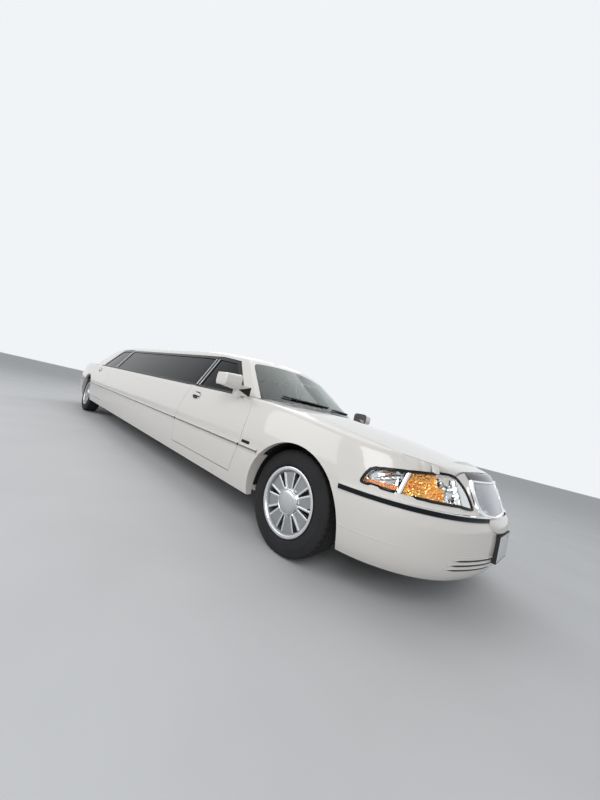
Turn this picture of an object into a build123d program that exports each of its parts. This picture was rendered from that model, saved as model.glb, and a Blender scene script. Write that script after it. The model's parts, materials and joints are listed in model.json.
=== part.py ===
from build123d import *
from math import asin, atan, cos, degrees, hypot, radians, sin, sqrt
import os

os.makedirs("parts", exist_ok=True)

# Driving dimensions of the car: a sedan's front and rear with a stretched middle.
# X runs forward, Y to the left and Z up. The origin is the bottom centre of the whole box.
sedan_wheelbase = 2990
stretch = 3048
front_overhang = 1065
rear_overhang = 1416
plate_bracket_stand = 12
car_height = 1499
front_track = 1610
rear_track = 1666

wheelbase = sedan_wheelbase + stretch
front_axle_x = (wheelbase + rear_overhang - front_overhang - plate_bracket_stand) / 2
rear_axle_x = front_axle_x - wheelbase


def fx(distance):
    """X of a place given ahead of the front axle."""
    return front_axle_x + distance


def rx(distance):
    """X of a place given ahead of the rear axle."""
    return rear_axle_x + distance


# Tyres, wheels and their arches
tyre_radius = 351
tyre_width = 225
tyre_bore = 214
tread_half_width = 88
rim_flange_radius = 229
rim_well_radius = 196
rim_half_width = 104
rim_wall = 8
arch_radius = 408
liner_gap = 2
steered_liner_gap = 13
liner_wall = 6
liner_outer_y = 905
front_arch_shift = 28
front_arch_drop = 16
rear_arch_shift = 0
rear_arch_drop = 8
seat_gap = 0.3
wheel_centre_z = tyre_radius

# Body side section: widest at the moulding, drawn in at the sill and the belt
sill_half_width = 950
widest_half_width = 997
belt_half_width = 944
sill_z = 268
widest_z = 610
belt_arc_z = 930
belt_z = 985
belt_shelf_half_width = 900
cabin_half_width = 862
cabin_end_half_width = 762
floor_z = 330
floor_thickness = 22

# Greenhouse section: leaning glass, rolled roof rail and a crowned roof
glass_top_half_width = 650
glass_top_z = 1384
rail_half_width = 550
rail_z = 1451
greenhouse_wall = 40
greenhouse_bottom_z = 800
greenhouse_arc_radius = 9300
roof_straight_front_x = fx(-2300)
roof_straight_rear_x = rx(1138)
greenhouse_front_x = fx(-450)
greenhouse_rear_x = rx(-620)

# Windshield and backlight: cylinders that lean back
windshield_slope = 31.5
windshield_radius = 2400
windshield_corner = (fx(-742), 783, 1008)
backlight_slope = 28.5
backlight_radius = 4000
backlight_corner = (rx(-370), 760, 1030)
screen_thickness = 6

# Ladder frame rails
rail_y = (380, 470)
rail_height = 100
rail_front_z = 330
rail_low_z = 200
rail_rear_z = 425

# Seams and gaps
moving_gap = 7
door_gap = 6
lid_corner_share = 1.75


def circle_through(p, q, r):
    """Centre and radius of the circle through three points."""
    d = 2 * (p[0] * (q[1] - r[1]) + q[0] * (r[1] - p[1]) + r[0] * (p[1] - q[1]))
    pp = p[0] ** 2 + p[1] ** 2
    qq = q[0] ** 2 + q[1] ** 2
    rr = r[0] ** 2 + r[1] ** 2
    cx = (pp * (q[1] - r[1]) + qq * (r[1] - p[1]) + rr * (p[1] - q[1])) / d
    cy = (pp * (r[0] - q[0]) + qq * (p[0] - r[0]) + rr * (q[0] - p[0])) / d
    return cx, cy, hypot(p[0] - cx, p[1] - cy)


side_centre_y, side_centre_z, side_radius = circle_through(
    (sill_half_width, sill_z), (widest_half_width, widest_z), (belt_half_width, belt_arc_z)
)


def side_y(z):
    """Half width of the body side at a height."""
    return side_centre_y + sqrt(side_radius**2 - (z - side_centre_z) ** 2)


def corner_radii(length, depth, side_turn, end_turn):
    """Radii of two tangent arcs that turn from straight ahead to the nose or tail arc."""
    s = radians(side_turn)
    e = radians(end_turn)
    a, b = sin(s), sin(e) - sin(s)
    c, d = 1 - cos(s), cos(s) - cos(e)
    det = a * d - b * c
    return (length * d - b * depth) / det, (a * depth - length * c) / det


def end_section(cut, start, bend, half_width, reach, end_share, sag_share, side_turn):
    """Face of the nose or tail in a plane: its half outline, mirrored and closed behind."""
    end_y = end_share * half_width
    sag = sag_share * end_y
    end_turn = 90 - 2 * degrees(atan(sag_share))
    r_side, r_corner = corner_radii(reach - sag - bend, half_width - end_y, side_turn, end_turn)
    with BuildSketch(cut) as section:
        with BuildLine():
            closing = Line((start, 0), (start, half_width))
            run = Line(closing @ 1, (bend, half_width))
            flank = JernArc(run @ 1, (1, 0), r_side, -side_turn)
            corner = JernArc(flank @ 1, flank % 1, r_corner, side_turn - end_turn)
            TangentArc(corner @ 1, (reach, 0), tangent=corner % 1)
            mirror(about=Plane.XZ)
        make_face()
    return section.sketch


# Plan of the ends: share of the half width that the end arc covers, its sag as a share of
# that, and the turn of the flank in degrees
nose_plan = (0.53, 0.18, 9)
tail_plan = (0.61, 0.1, 7)

# Walls below the belt in level slices. Columns: height, reach beyond the axle
front_rows = [(575, 1022), (670, 982), (770, 935), (870, 885), (970, 835), (1075, 780)]
rear_rows = [(600, 1374), (700, 1374), (800, 1366), (900, 1346), (1000, 1314), (1075, 1284)]
front_bend = -132
rear_bend = -60
front_join = -780
rear_join = -140

# Crowned top faces of hood and deck. Columns of each end: X, height on the centre line
hood_crown = ((fx(-780), 1036), (fx(850), 843))
deck_crown = ((rx(-1300), 1002), (rx(140), 1036))
hood_crown_radius = 8000
deck_crown_radius = 14000
crown_half_width = 1100
crown_drop = 75
crown_depth = 700
shoulder_radius = 48
skin = 42


def end_walls(rows, axle_x, ahead, join, bend, plan, wall):
    """Solid below the belt at one end of the car, inset by a wall thickness."""
    with BuildPart() as walls:
        for z, reach in rows:
            level = Plane(origin=(axle_x, 0, z), x_dir=(ahead, 0, 0), z_dir=(0, 0, 1))
            add(end_section(level, join, bend, side_y(z) - wall, reach - wall, *plan))
        loft()
    return walls.part


def crown_block(ends, radius, lowering):
    """Solid under a top face that is crowned across and along the car."""
    (rear_x, rear_z), (front_x, front_z) = ends
    dx, dz = front_x - rear_x, front_z - rear_z
    span = hypot(dx, dz)
    depth = sqrt(radius**2 - span**2 / 4)
    centre_x = (rear_x + front_x) / 2 + dz / span * depth
    centre_z = (rear_z + front_z) / 2 - dx / span * depth
    spare = 3
    start = asin((rear_x - centre_x) / radius) - radians(spare)
    sweep = degrees(asin((front_x - centre_x) / radius) - start) + spare
    across = Plane(
        origin=(centre_x, 0, centre_z), x_dir=(0, 1, 0), z_dir=(cos(start), 0, -sin(start))
    )
    top = radius - lowering
    with BuildPart() as block:
        with BuildSketch(across):
            with BuildLine():
                crown = ThreePointArc(
                    (-crown_half_width, top - crown_drop), (0, top),
                    (crown_half_width, top - crown_drop),
                )
                Polyline(
                    crown @ 1, (crown_half_width, top - crown_depth),
                    (-crown_half_width, top - crown_depth), crown @ 0,
                )
            make_face()
        revolve(axis=Axis((centre_x, 0, centre_z), (0, 1, 0)), revolution_arc=sweep)
    return block.part


def end_body(walls, crown, join_x, rounded):
    """Walls under their crown, with the shoulder and the leading edge rolled over."""
    with BuildPart() as shape:
        add(walls)
        add(crown, mode=Mode.INTERSECT)
        if rounded:
            top = shape.faces().sort_by(lambda face: face.center().Z)[-1]
            rim = [edge for edge in top.edges() if abs(edge.center().X - join_x) > 20]
            fillet(rim, shoulder_radius)
    return shape.part


def front_body(wall, rounded=True):
    walls = end_walls(front_rows, front_axle_x, 1, front_join, front_bend, nose_plan, wall)
    crown = crown_block(hood_crown, hood_crown_radius, wall)
    return end_body(walls, crown, fx(front_join), rounded)


def rear_body_solid(wall, rounded=True):
    walls = end_walls(rear_rows, rear_axle_x, -1, rear_join, rear_bend, tail_plan, wall)
    crown = crown_block(deck_crown, deck_crown_radius, wall)
    return end_body(walls, crown, rx(-rear_join), rounded)


# Bumper covers in level slices. Columns: height, inset of the end, inset of the sides
front_bumper_rows = [(232, 62, 22), (300, 18, 6), (430, 0, 0), (530, 8, 0), (590, 34, 2)]
rear_bumper_rows = [(262, 60, 14), (330, 14, 4), (450, 0, 0), (560, 6, 0), (618, 34, 2)]
bumper_join = -120
bumper_bend = -80
bumper_wall = 60


def bumper_solid(rows, axle_x, overhang, ahead, plan, wall):
    """Bumper cover as a solid, or its inside at a wall thickness."""
    with BuildPart() as cover:
        for z, inset, side_inset in rows:
            level = Plane(origin=(axle_x, 0, z), x_dir=(ahead, 0, 0), z_dir=(0, 0, 1))
            half_width = side_y(z) - side_inset - wall
            reach = overhang - inset - wall
            add(end_section(level, bumper_join, bumper_bend, half_width, reach, *plan))
        loft()
    return cover.part


# Greenhouse: one leaning section, straight over the middle and bent down at both ends
def greenhouse(wall):
    """Solid of the glass house, its sides inset by a wall thickness measured level."""
    lean = (glass_top_half_width - belt_shelf_half_width, glass_top_z - belt_z)
    lean_turn = atan(-lean[0] / lean[1])
    rail_turn = 2 * atan((rail_z - glass_top_z) / (glass_top_half_width - rail_half_width))
    rail_turn -= radians(90) - lean_turn
    depth = wall * cos(lean_turn)
    foot = belt_shelf_half_width - wall
    top = (glass_top_half_width - depth * cos(lean_turn), glass_top_z - depth * sin(lean_turn))
    rail = (rail_half_width - depth * sin(rail_turn), rail_z - depth * cos(rail_turn))
    roof = car_height - depth

    with BuildSketch() as section:
        with BuildLine():
            down = Line((0, greenhouse_bottom_z), (foot, greenhouse_bottom_z))
            side = Polyline(down @ 1, (foot, belt_z), top)
            roll = TangentArc(side @ 1, rail, tangent=lean)
            TangentArc(roll @ 1, (0, roof), tangent=roll % 1)
            mirror(about=Plane.YZ)
        make_face()
    with BuildPart() as house:
        with BuildSketch(Plane.YZ.offset(roof_straight_rear_x)):
            add(section.sketch)
        extrude(amount=roof_straight_front_x - roof_straight_rear_x)
        axis_z = car_height - greenhouse_arc_radius
        for start_x, end_x in (
            (roof_straight_front_x, greenhouse_front_x), (roof_straight_rear_x, greenhouse_rear_x)
        ):
            ahead = 1 if end_x > start_x else -1
            with BuildSketch(Plane.YZ.offset(start_x)):
                add(section.sketch)
            revolve(
                axis=Axis((start_x, 0, axis_z), (0, ahead, 0)),
                revolution_arc=degrees(asin(abs(end_x - start_x) / greenhouse_arc_radius)),
            )
    return house.part


def roof_drop(x):
    """How far the bent ends of the glass house hang below its straight middle."""
    run = max(x - roof_straight_front_x, roof_straight_rear_x - x, 0)
    return greenhouse_arc_radius - sqrt(greenhouse_arc_radius**2 - run**2)


def screen_cylinder(corner, slope, ahead, radius, reduced):
    """Leaning cylinder on which the windshield or the backlight lies."""
    lean = radians(slope)
    depth = sqrt(radius**2 - corner[1] ** 2)
    origin = (corner[0] - ahead * sin(lean) * depth, 0, corner[2] - cos(lean) * depth)
    across = Plane(origin=origin, x_dir=(0, 1, 0), z_dir=(-ahead * cos(lean), 0, sin(lean)))
    with BuildPart() as drum:
        with BuildSketch(across):
            Circle(radius - reduced)
        extrude(amount=9000, both=True)
    return drum.part


def windshield_drum(reduced=0):
    return screen_cylinder(windshield_corner, windshield_slope, 1, windshield_radius, reduced)


def backlight_drum(reduced=0):
    return screen_cylinder(backlight_corner, backlight_slope, -1, backlight_radius, reduced)


def box(x, y, z):
    """Box between pairs of X, Y and Z limits."""
    block = Box(abs(x[1] - x[0]), abs(y[1] - y[0]), abs(z[1] - z[0]), mode=Mode.PRIVATE)
    return Pos((x[0] + x[1]) / 2, (y[0] + y[1]) / 2, (z[0] + z[1]) / 2) * block


def side_prism(points, y_from, y_to, lean=0):
    """Prism of an XZ outline between two Y values, raked backwards as it goes outboard."""
    with BuildPart() as prism:
        with BuildSketch(Plane.XZ.offset(-y_from)):
            with BuildLine():
                Polyline([(x - lean * (y_from - rake_y), z) for x, z in points], close=True)
            make_face()
        extrude(amount=(y_to - y_from) * hypot(1, lean), dir=(-lean, 1, 0))
    return prism.part


def plan_prism(points, z_from, z_to):
    """Upright prism of an XY outline."""
    with BuildPart() as prism:
        with BuildSketch(Plane.XY.offset(z_from)):
            with BuildLine():
                Polyline(points, close=True)
            make_face()
        extrude(amount=z_to - z_from)
    return prism.part


def drum(x, y, z, radius):
    """Cylinder along Y."""
    with BuildPart() as roller:
        with BuildSketch(Plane(origin=(x, y[0], z), x_dir=(1, 0, 0), z_dir=(0, 1, 0))):
            Circle(radius)
        extrude(amount=y[1] - y[0])
    return roller.part


def post(x, y, z, radius):
    """Cylinder along Z."""
    with BuildPart() as pin:
        with BuildSketch(Plane(origin=(x, y, z[0]))):
            Circle(radius)
        extrude(amount=z[1] - z[0])
    return pin.part


def keep(shape, *cutters):
    """What the shape shares with every cutter."""
    with BuildPart() as rest:
        add(shape)
        for cutter in cutters:
            add(cutter, mode=Mode.INTERSECT)
    return rest.part


def cut(shape, *cutters):
    """The shape without the cutters."""
    with BuildPart() as rest:
        add(shape)
        for cutter in cutters:
            add(cutter, mode=Mode.SUBTRACT)
    return rest.part


def left_and_right(shape):
    """The shape and its mirror image across the car."""
    with BuildPart() as pair:
        add(shape)
        mirror(shape, about=Plane.XZ)
    return pair.part


def save(part, name):
    part.label = name
    export_step(part, f"parts/{name}.step")


# Door seams as they lie on the skin, from the front foot round the top to the rear foot.
# Columns: X, height
door_foot_z = 372
front_door_seam = [
    (fx(-632), door_foot_z), (fx(-548), 606), (fx(-556), 860), (fx(-566), belt_z),
    (fx(-872), belt_z), (fx(-1330), 1336), (fx(-1540), 1358), (fx(-1745), 1371),
    (fx(-1652), belt_z), (fx(-1728), 640), (fx(-1722), door_foot_z),
]
rear_door_seam = [
    (rx(1258), door_foot_z), (rx(1264), 640), (rx(1340), belt_z), (rx(1256), 1378),
    (rx(1000), 1376), (rx(700), 1364), (rx(600), 1290), (rx(438), belt_z),
    (rx(462), 760), (rx(500), door_foot_z),
]
front_door_pane = [
    (fx(-962), 1003), (fx(-1352), 1305), (fx(-1540), 1322), (fx(-1694), 1332), (fx(-1612), 1003),
]
rear_door_pane = [
    (rx(1298), 1003), (rx(1218), 1338), (rx(1000), 1338), (rx(738), 1328), (rx(652), 1262),
    (rx(500), 1003),
]
stretch_pane = [
    (fx(-1722), 1003), (fx(-1808), 1334), (fx(-1950), 1340), (rx(1400), 1342), (rx(1316), 1339),
    (rx(1400), 1003),
]
door_lean = 0.5
rake_y = 960
rear_arch_z = tyre_radius - rear_arch_drop
front_arch_z = tyre_radius - front_arch_drop
door_far_y = 1040
door_near_y = 500


def skin_y(x, z):
    """Half width of the outside at a place on the side."""
    if z < belt_z:
        return side_y(min(z, belt_arc_z))
    lean = (belt_shelf_half_width - glass_top_half_width) / (glass_top_z - belt_z)
    return belt_shelf_half_width - lean * (z + roof_drop(x) - belt_z)


def raked(points, lean):
    """Outline moved so that its raked prism crosses the skin where the seam is drawn."""
    return [(x + lean * (skin_y(x, z) - rake_y), z) for x, z in points]


def door_prism(seam, gap, lean):
    """Raked prism of a door, or of its opening with a gap added."""
    outline = [(x - lean * (door_near_y - rake_y), z) for x, z in raked(seam, lean)]
    with BuildPart() as prism:
        with BuildSketch(Plane.XZ.offset(-door_near_y)):
            with BuildLine():
                Polyline(outline, close=True)
            make_face()
            if gap:
                offset(amount=gap, kind=Kind.INTERSECTION)
        extrude(amount=(door_far_y - door_near_y) * hypot(1, lean), dir=(-lean, 1, 0))
    return prism.part


# Envelopes that the panels are cut from
front_outer = front_body(0)
front_inner = front_body(skin, False)
rear_outer = rear_body_solid(0)
rear_inner = rear_body_solid(skin, False)
house_outer = greenhouse(0)
house_inner = greenhouse(greenhouse_wall)
windshield_limit = windshield_drum()
backlight_limit = backlight_drum()

cabin_plan = [
    (fx(-440), cabin_end_half_width), (roof_straight_front_x, cabin_half_width),
    (roof_straight_rear_x, cabin_half_width), (rx(140), cabin_end_half_width),
    (rx(140), -cabin_end_half_width), (roof_straight_rear_x, -cabin_half_width),
    (roof_straight_front_x, -cabin_half_width), (fx(-440), -cabin_end_half_width),
]

# Side walls between the ends, from the sill up to the belt
with BuildPart() as side_wall:
    with BuildSketch(Plane.YZ.offset(rx(140))):
        with BuildLine():
            flank = ThreePointArc(
                (sill_half_width, sill_z), (widest_half_width, widest_z),
                (belt_half_width, belt_arc_z),
            )
            shoulder = TangentArc(
                flank @ 1, (belt_shelf_half_width, belt_z), tangent=flank % 1
            )
            Polyline(
                shoulder @ 1, (cabin_end_half_width, belt_z), (cabin_end_half_width, sill_z),
                flank @ 0,
            )
        make_face()
    extrude(amount=fx(-300) - rx(140))
    add(plan_prism(cabin_plan, floor_z, belt_z + 1), mode=Mode.SUBTRACT)

# The hinge pillar stays inboard of the front door's leading end
pillar_end_x = fx(-905)
pillar_outer_y = 809
pillar_front_z = 922
front_hinge_x = fx(-566)
door_hinge_y = 1001
door_corner_radius = 185
wall_front_x = fx(-450)
fender_foot_x = fx(-640)
front_seam_z = 590
rear_seam_z = 618


def pillar_zone(gap):
    return box((pillar_end_x - gap, fx(0)), (400, pillar_outer_y + gap), (0, belt_z))


# Ahead of its hinge line the front door keeps inside this radius, clear of the pillar
door_corner = cut(
    box((front_hinge_x, fx(0)), (400, door_hinge_y), (0, belt_z)),
    post(front_hinge_x, door_hinge_y, (0, belt_z), door_corner_radius),
)
front_door_room = cut(door_prism(front_door_seam, door_gap, door_lean), pillar_zone(0))
rear_door_room = door_prism(rear_door_seam, door_gap, door_lean)
front_arch = drum(fx(front_arch_shift), (700, door_far_y), front_arch_z, arch_radius)
rear_arch = drum(rx(rear_arch_shift), (700, door_far_y), rear_arch_z, arch_radius)

# Glass house shell above the belt, trimmed by both screens
with BuildPart() as shell:
    add(house_outer)
    add(house_inner, mode=Mode.SUBTRACT)
    add(windshield_limit, mode=Mode.INTERSECT)
    add(backlight_limit, mode=Mode.INTERSECT)
    add(box((rx(-900), fx(0)), (-1000, 1000), (belt_z, 1600)), mode=Mode.INTERSECT)

# Door mirror: a rounded housing on a foot at the front of the window
with BuildPart() as door_mirror:
    with BuildSketch(Plane.XZ.offset(-1000)):
        with Locations((fx(-800), 1078)):
            RectangleRounded(190, 128, 42)
    extrude(amount=-140, taper=6)
    fillet(door_mirror.faces().sort_by(Axis.Y)[-1].edges(), 14)
    add(box((fx(-800), fx(-730)), (876, 1004), (belt_z - 12, 1062)))

glass_inset = 8
glass_thickness = 6
for end, seam, pane in (
    ("front", front_door_seam, front_door_pane), ("rear", rear_door_seam, rear_door_pane)
):
    prism = door_prism(seam, 0, door_lean)
    window = side_prism(pane, 560, door_far_y)
    lower = keep(side_wall.part, prism)
    if end == "front":
        lower = cut(lower, pillar_zone(door_gap), door_corner)
    else:
        lower = cut(lower, drum(
            rx(rear_arch_shift), (700, door_far_y), rear_arch_z, arch_radius + 30))
    with BuildPart() as door:
        add(shell.part)
        add(prism, mode=Mode.INTERSECT)
        add(lower)
        add(window, mode=Mode.SUBTRACT)
        if end == "front":
            add(door_mirror.part)
    with BuildPart() as glass:
        add(greenhouse(glass_inset))
        add(greenhouse(glass_inset + glass_thickness), mode=Mode.SUBTRACT)
        add(window, mode=Mode.INTERSECT)
    save(door.part, f"{end}_door_left")
    save(mirror(door.part, about=Plane.XZ), f"{end}_door_right")
    save(glass.part, f"{end}_door_glass_left")
    save(mirror(glass.part, about=Plane.XZ), f"{end}_door_glass_right")

# Roof with its pillars, open at doors and fixed panes
stretch_window = side_prism(stretch_pane, 560, door_far_y)
with BuildPart() as roof:
    add(shell.part)
    for opening in (front_door_room, rear_door_room, stretch_window):
        add(opening, mode=Mode.SUBTRACT)
        mirror(opening, about=Plane.XZ, mode=Mode.SUBTRACT)
    add(rear_outer, mode=Mode.SUBTRACT)
save(roof.part, "roof_and_pillars")

# Body sides between the fenders and the rear quarters
fender_foot_zone = box(
    (fender_foot_x, fx(0)), (liner_outer_y + seat_gap, 1100), (0, front_seam_z))
with BuildPart() as body_side:
    add(side_wall.part)
    add(front_door_room, mode=Mode.SUBTRACT)
    add(rear_door_room, mode=Mode.SUBTRACT)
    add(rear_arch, mode=Mode.SUBTRACT)
    add(box((wall_front_x, fx(0)), (0, 1100), (0, 1100)), mode=Mode.SUBTRACT)
    add(box((fender_foot_x, fx(0)), (pillar_outer_y, 1100), (0, 1100)), mode=Mode.SUBTRACT)
    add(box((fx(-580), fx(0)), (0, 1100), (pillar_front_z, 1100)), mode=Mode.SUBTRACT)
    add(box((pillar_end_x - 9, fx(-835)), (0, pillar_outer_y + 1), (belt_z - moving_gap, 1100)),
        mode=Mode.SUBTRACT)
    add(drum(rx(rear_arch_shift), (0, liner_outer_y + seat_gap), rear_arch_z,
             arch_radius + liner_gap + liner_wall + seat_gap), mode=Mode.SUBTRACT)
save(body_side.part, "body_side_left")
save(mirror(body_side.part, about=Plane.XZ), "body_side_right")

# Windshield and the fixed panes
with BuildPart() as windshield:
    add(windshield_limit)
    add(windshield_drum(screen_thickness), mode=Mode.SUBTRACT)
    add(house_inner, mode=Mode.INTERSECT)
    add(box((fx(-1600), fx(-300)), (-900, 900), (900, 1600)), mode=Mode.INTERSECT)
    add(front_outer, mode=Mode.SUBTRACT)
save(windshield.part, "windshield")

with BuildPart() as fixed_glass:
    add(backlight_limit)
    add(backlight_drum(screen_thickness), mode=Mode.SUBTRACT)
    add(house_inner, mode=Mode.INTERSECT)
    add(box((rx(-900), rx(600)), (-900, 900), (900, 1600)), mode=Mode.INTERSECT)
    add(rear_outer, mode=Mode.SUBTRACT)
    side_pane = keep(
        cut(greenhouse(glass_inset), greenhouse(glass_inset + glass_thickness)), stretch_window)
    add(side_pane)
    mirror(side_pane, about=Plane.XZ)
save(fixed_glass.part, "fixed_glass")

# Front clip: hood, fenders, nose panel, lamps and cowl cut from one skin
hood_half_plan = [
    (fx(-680), 752), (fx(300), 788), (fx(606), 742), (fx(719), 640), (fx(840), 478),
    (fx(868), 250),
]
hood_back_x = fx(-490)


def hood_prism(gap):
    """Upright prism of the hood's outline, or of its opening with a gap added."""
    with BuildPart() as prism:
        with BuildSketch(Plane.XY.offset(700)):
            with BuildLine():
                half = [(x + (gap if x > front_axle_x else -lid_corner_share * gap), y + gap)
                        for x, y in hood_half_plan]
                left = Polyline(half)
                right = Polyline([(x, -y) for x, y in half])
                Line(left @ 1, right @ 1)
                ThreePointArc(left @ 0, (hood_back_x - gap, 0), right @ 0)
            make_face()
        extrude(amount=400)
    return prism.part


lamp_outline = [(fx(505), 655), (fx(528), 742), (fx(880), 806), (fx(1030), 815), (fx(1030), 640)]
lamp_inner_y = 478
nose_outline = [
    (fx(505), 500), (fx(505), 655), (fx(1030), 640), (fx(1100), 640), (fx(1100), 500),
]
lamp_prism = side_prism([(x, z) for x, z in lamp_outline], lamp_inner_y, door_far_y)
front_skin = keep(
    cut(front_outer, front_inner), box((fx(-780), fx(1100)), (-1100, 1100), (front_seam_z, 1100)))
nose_zone = left_and_right(side_prism(nose_outline, 0, door_far_y))
nose_centre = box((fx(700), fx(1100)), (-lamp_inner_y, lamp_inner_y), (500, 1000))
grille_half_width = 232
grille_top_z = 814
grille_bottom_z = 596


def grille_prism(inset, x_from, x_to):
    """Prism of the grille's front outline: flat on top, rounded below."""
    half = grille_half_width - inset
    with BuildPart() as prism:
        with BuildSketch(Plane.YZ.offset(x_from)):
            with BuildLine():
                low = ThreePointArc(
                    (-half, grille_bottom_z + 70), (0, grille_bottom_z + inset),
                    (half, grille_bottom_z + 70),
                )
                Polyline(
                    low @ 1, (half, grille_top_z - inset), (-half, grille_top_z - inset), low @ 0)
            make_face()
        extrude(amount=x_to - x_from)
    return prism.part


hood = keep(front_skin, hood_prism(0))
save(hood, "hood")
hood_room = hood_prism(moving_gap)
rest = cut(front_skin, hood_room)
lamps = keep(rest, left_and_right(lamp_prism))
save(lamps, "headlamps")
grille_hole = grille_prism(0, fx(700), fx(1200))
with BuildPart() as zone:
    add(nose_zone)
    add(nose_centre)
with BuildPart() as nose_panel:
    add(rest)
    add(left_and_right(lamp_prism), mode=Mode.SUBTRACT)
    add(box((fx(400), fx(1200)), (-1100, 1100), (500, 1100)), mode=Mode.INTERSECT)
    add(zone.part, mode=Mode.INTERSECT)
    add(grille_hole, mode=Mode.SUBTRACT)
save(nose_panel.part, "nose_panel")

with BuildPart() as fender:
    add(rest)
    add(zone.part, mode=Mode.SUBTRACT)
    add(lamp_prism, mode=Mode.SUBTRACT)
    add(box((fx(-770), fx(1100)), (cabin_end_half_width, 1100), (500, 1100)), mode=Mode.INTERSECT)
    add(keep(windshield_limit, box((fx(-800), fx(-300)), (700, 1100), (belt_z, 1100))),
        mode=Mode.SUBTRACT)
    add(front_door_room, mode=Mode.SUBTRACT)
    add(box((fx(-780), wall_front_x), (0, pillar_outer_y + seat_gap), (0, belt_z)),
        mode=Mode.SUBTRACT)
    add(front_arch, mode=Mode.SUBTRACT)
    foot = cut(keep(side_wall.part, fender_foot_zone), front_door_room, front_arch)
    add(foot)
save(fender.part, "fender_left")
save(mirror(fender.part, about=Plane.XZ), "fender_right")

# Front bumper cover, open above and below, with the plate bracket on its face
def bumper_cover(rows, axle_x, overhang, ahead, plan, arch, arch_x):
    with BuildPart() as cover:
        add(bumper_solid(rows, axle_x, overhang, ahead, plan, 0))
        add(bumper_solid(rows, axle_x, overhang, ahead, plan, bumper_wall), mode=Mode.SUBTRACT)
        add(arch, mode=Mode.SUBTRACT)
        mirror(arch, about=Plane.XZ, mode=Mode.SUBTRACT)
        behind = sorted((arch_x, arch_x - ahead * 1000))
        add(box(behind, (-1100, 1100), (0, 1000)), mode=Mode.SUBTRACT)
    return cover.part


plate_width = 305
plate_height = 152
plate_z = 423
plate_hole_spacing = 178
plate_hole_radius = 3.2
with BuildPart() as front_bumper:
    add(bumper_cover(
        front_bumper_rows, front_axle_x, front_overhang, 1, nose_plan, front_arch,
        fx(front_arch_shift)))
    bracket_x = fx(front_overhang + plate_bracket_stand)
    add(box(
        (bracket_x - 55, bracket_x), (-plate_width / 2 - 8, plate_width / 2 + 8),
        (plate_z - plate_height / 2 - 8, plate_z + plate_height / 2 + 8),
    ))
    with BuildSketch(Plane.YZ.offset(bracket_x)):
        with Locations((-plate_hole_spacing / 2, plate_z + 58), (plate_hole_spacing / 2, plate_z + 58)):
            Circle(plate_hole_radius)
    extrude(amount=-14, mode=Mode.SUBTRACT)
save(front_bumper.part, "front_bumper")

with BuildPart() as rear_bumper:
    add(bumper_cover(
        rear_bumper_rows, rear_axle_x, rear_overhang, -1, tail_plan, rear_arch,
        rx(rear_arch_shift)))
save(rear_bumper.part, "rear_bumper")

# Grille: a chromed surround with upright bars, bulging with the nose
grille_surround = 16
grille_bar_pitch = 19.5
grille_bar_width = 5
grille_bars_each_side = 10
grille_bar_stand = 4
grille_bar_depth = 20
grille_floor_rise = 66
grille_zone = box((fx(876), fx(1200)), (-240, 240), (grille_bottom_z - 4, grille_top_z + 10))


def nose_layer(outer, inner):
    """Layer of the nose around the grille, between two offsets from the body's face."""
    return keep(cut(keep(front_body(outer, False), grille_zone), front_body(inner, False)))


def nose_face_x(y, z):
    """X of the nose's face at a place on it."""
    for (low_z, low_x), (high_z, high_x) in zip(front_rows, front_rows[1:]):
        if low_z <= z <= high_z:
            reach = low_x + (high_x - low_x) * (z - low_z) / (high_z - low_z)
    end_y = nose_plan[0] * side_y(z)
    sag = nose_plan[1] * end_y
    bow = (end_y**2 + sag**2) / (2 * sag)
    return fx(reach) - bow + sqrt(bow**2 - y**2)


def grille_bar(y):
    """Upright bar that follows the nose, its ends buried in the surround."""
    foot_z = grille_bottom_z + grille_surround / 2 + grille_floor_rise * (y / grille_half_width) ** 2
    heights = [foot_z, 670, 740, grille_top_z - grille_surround / 2]
    front = [(nose_face_x(y, z) + grille_bar_stand, z) for z in heights]
    back = [(x - grille_bar_depth, z) for x, z in reversed(front)]
    return side_prism(front + back, y - grille_bar_width / 2, y + grille_bar_width / 2)


opening = grille_prism(grille_surround, fx(600), fx(1300))
with BuildPart() as grille:
    add(nose_layer(-10, 26))
    add(grille_prism(1, fx(740), fx(1200)), mode=Mode.INTERSECT)
    add(opening, mode=Mode.SUBTRACT)
    for number in range(-grille_bars_each_side, grille_bars_each_side + 1):
        add(grille_bar(number * grille_bar_pitch))
save(grille.part, "grille")

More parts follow.
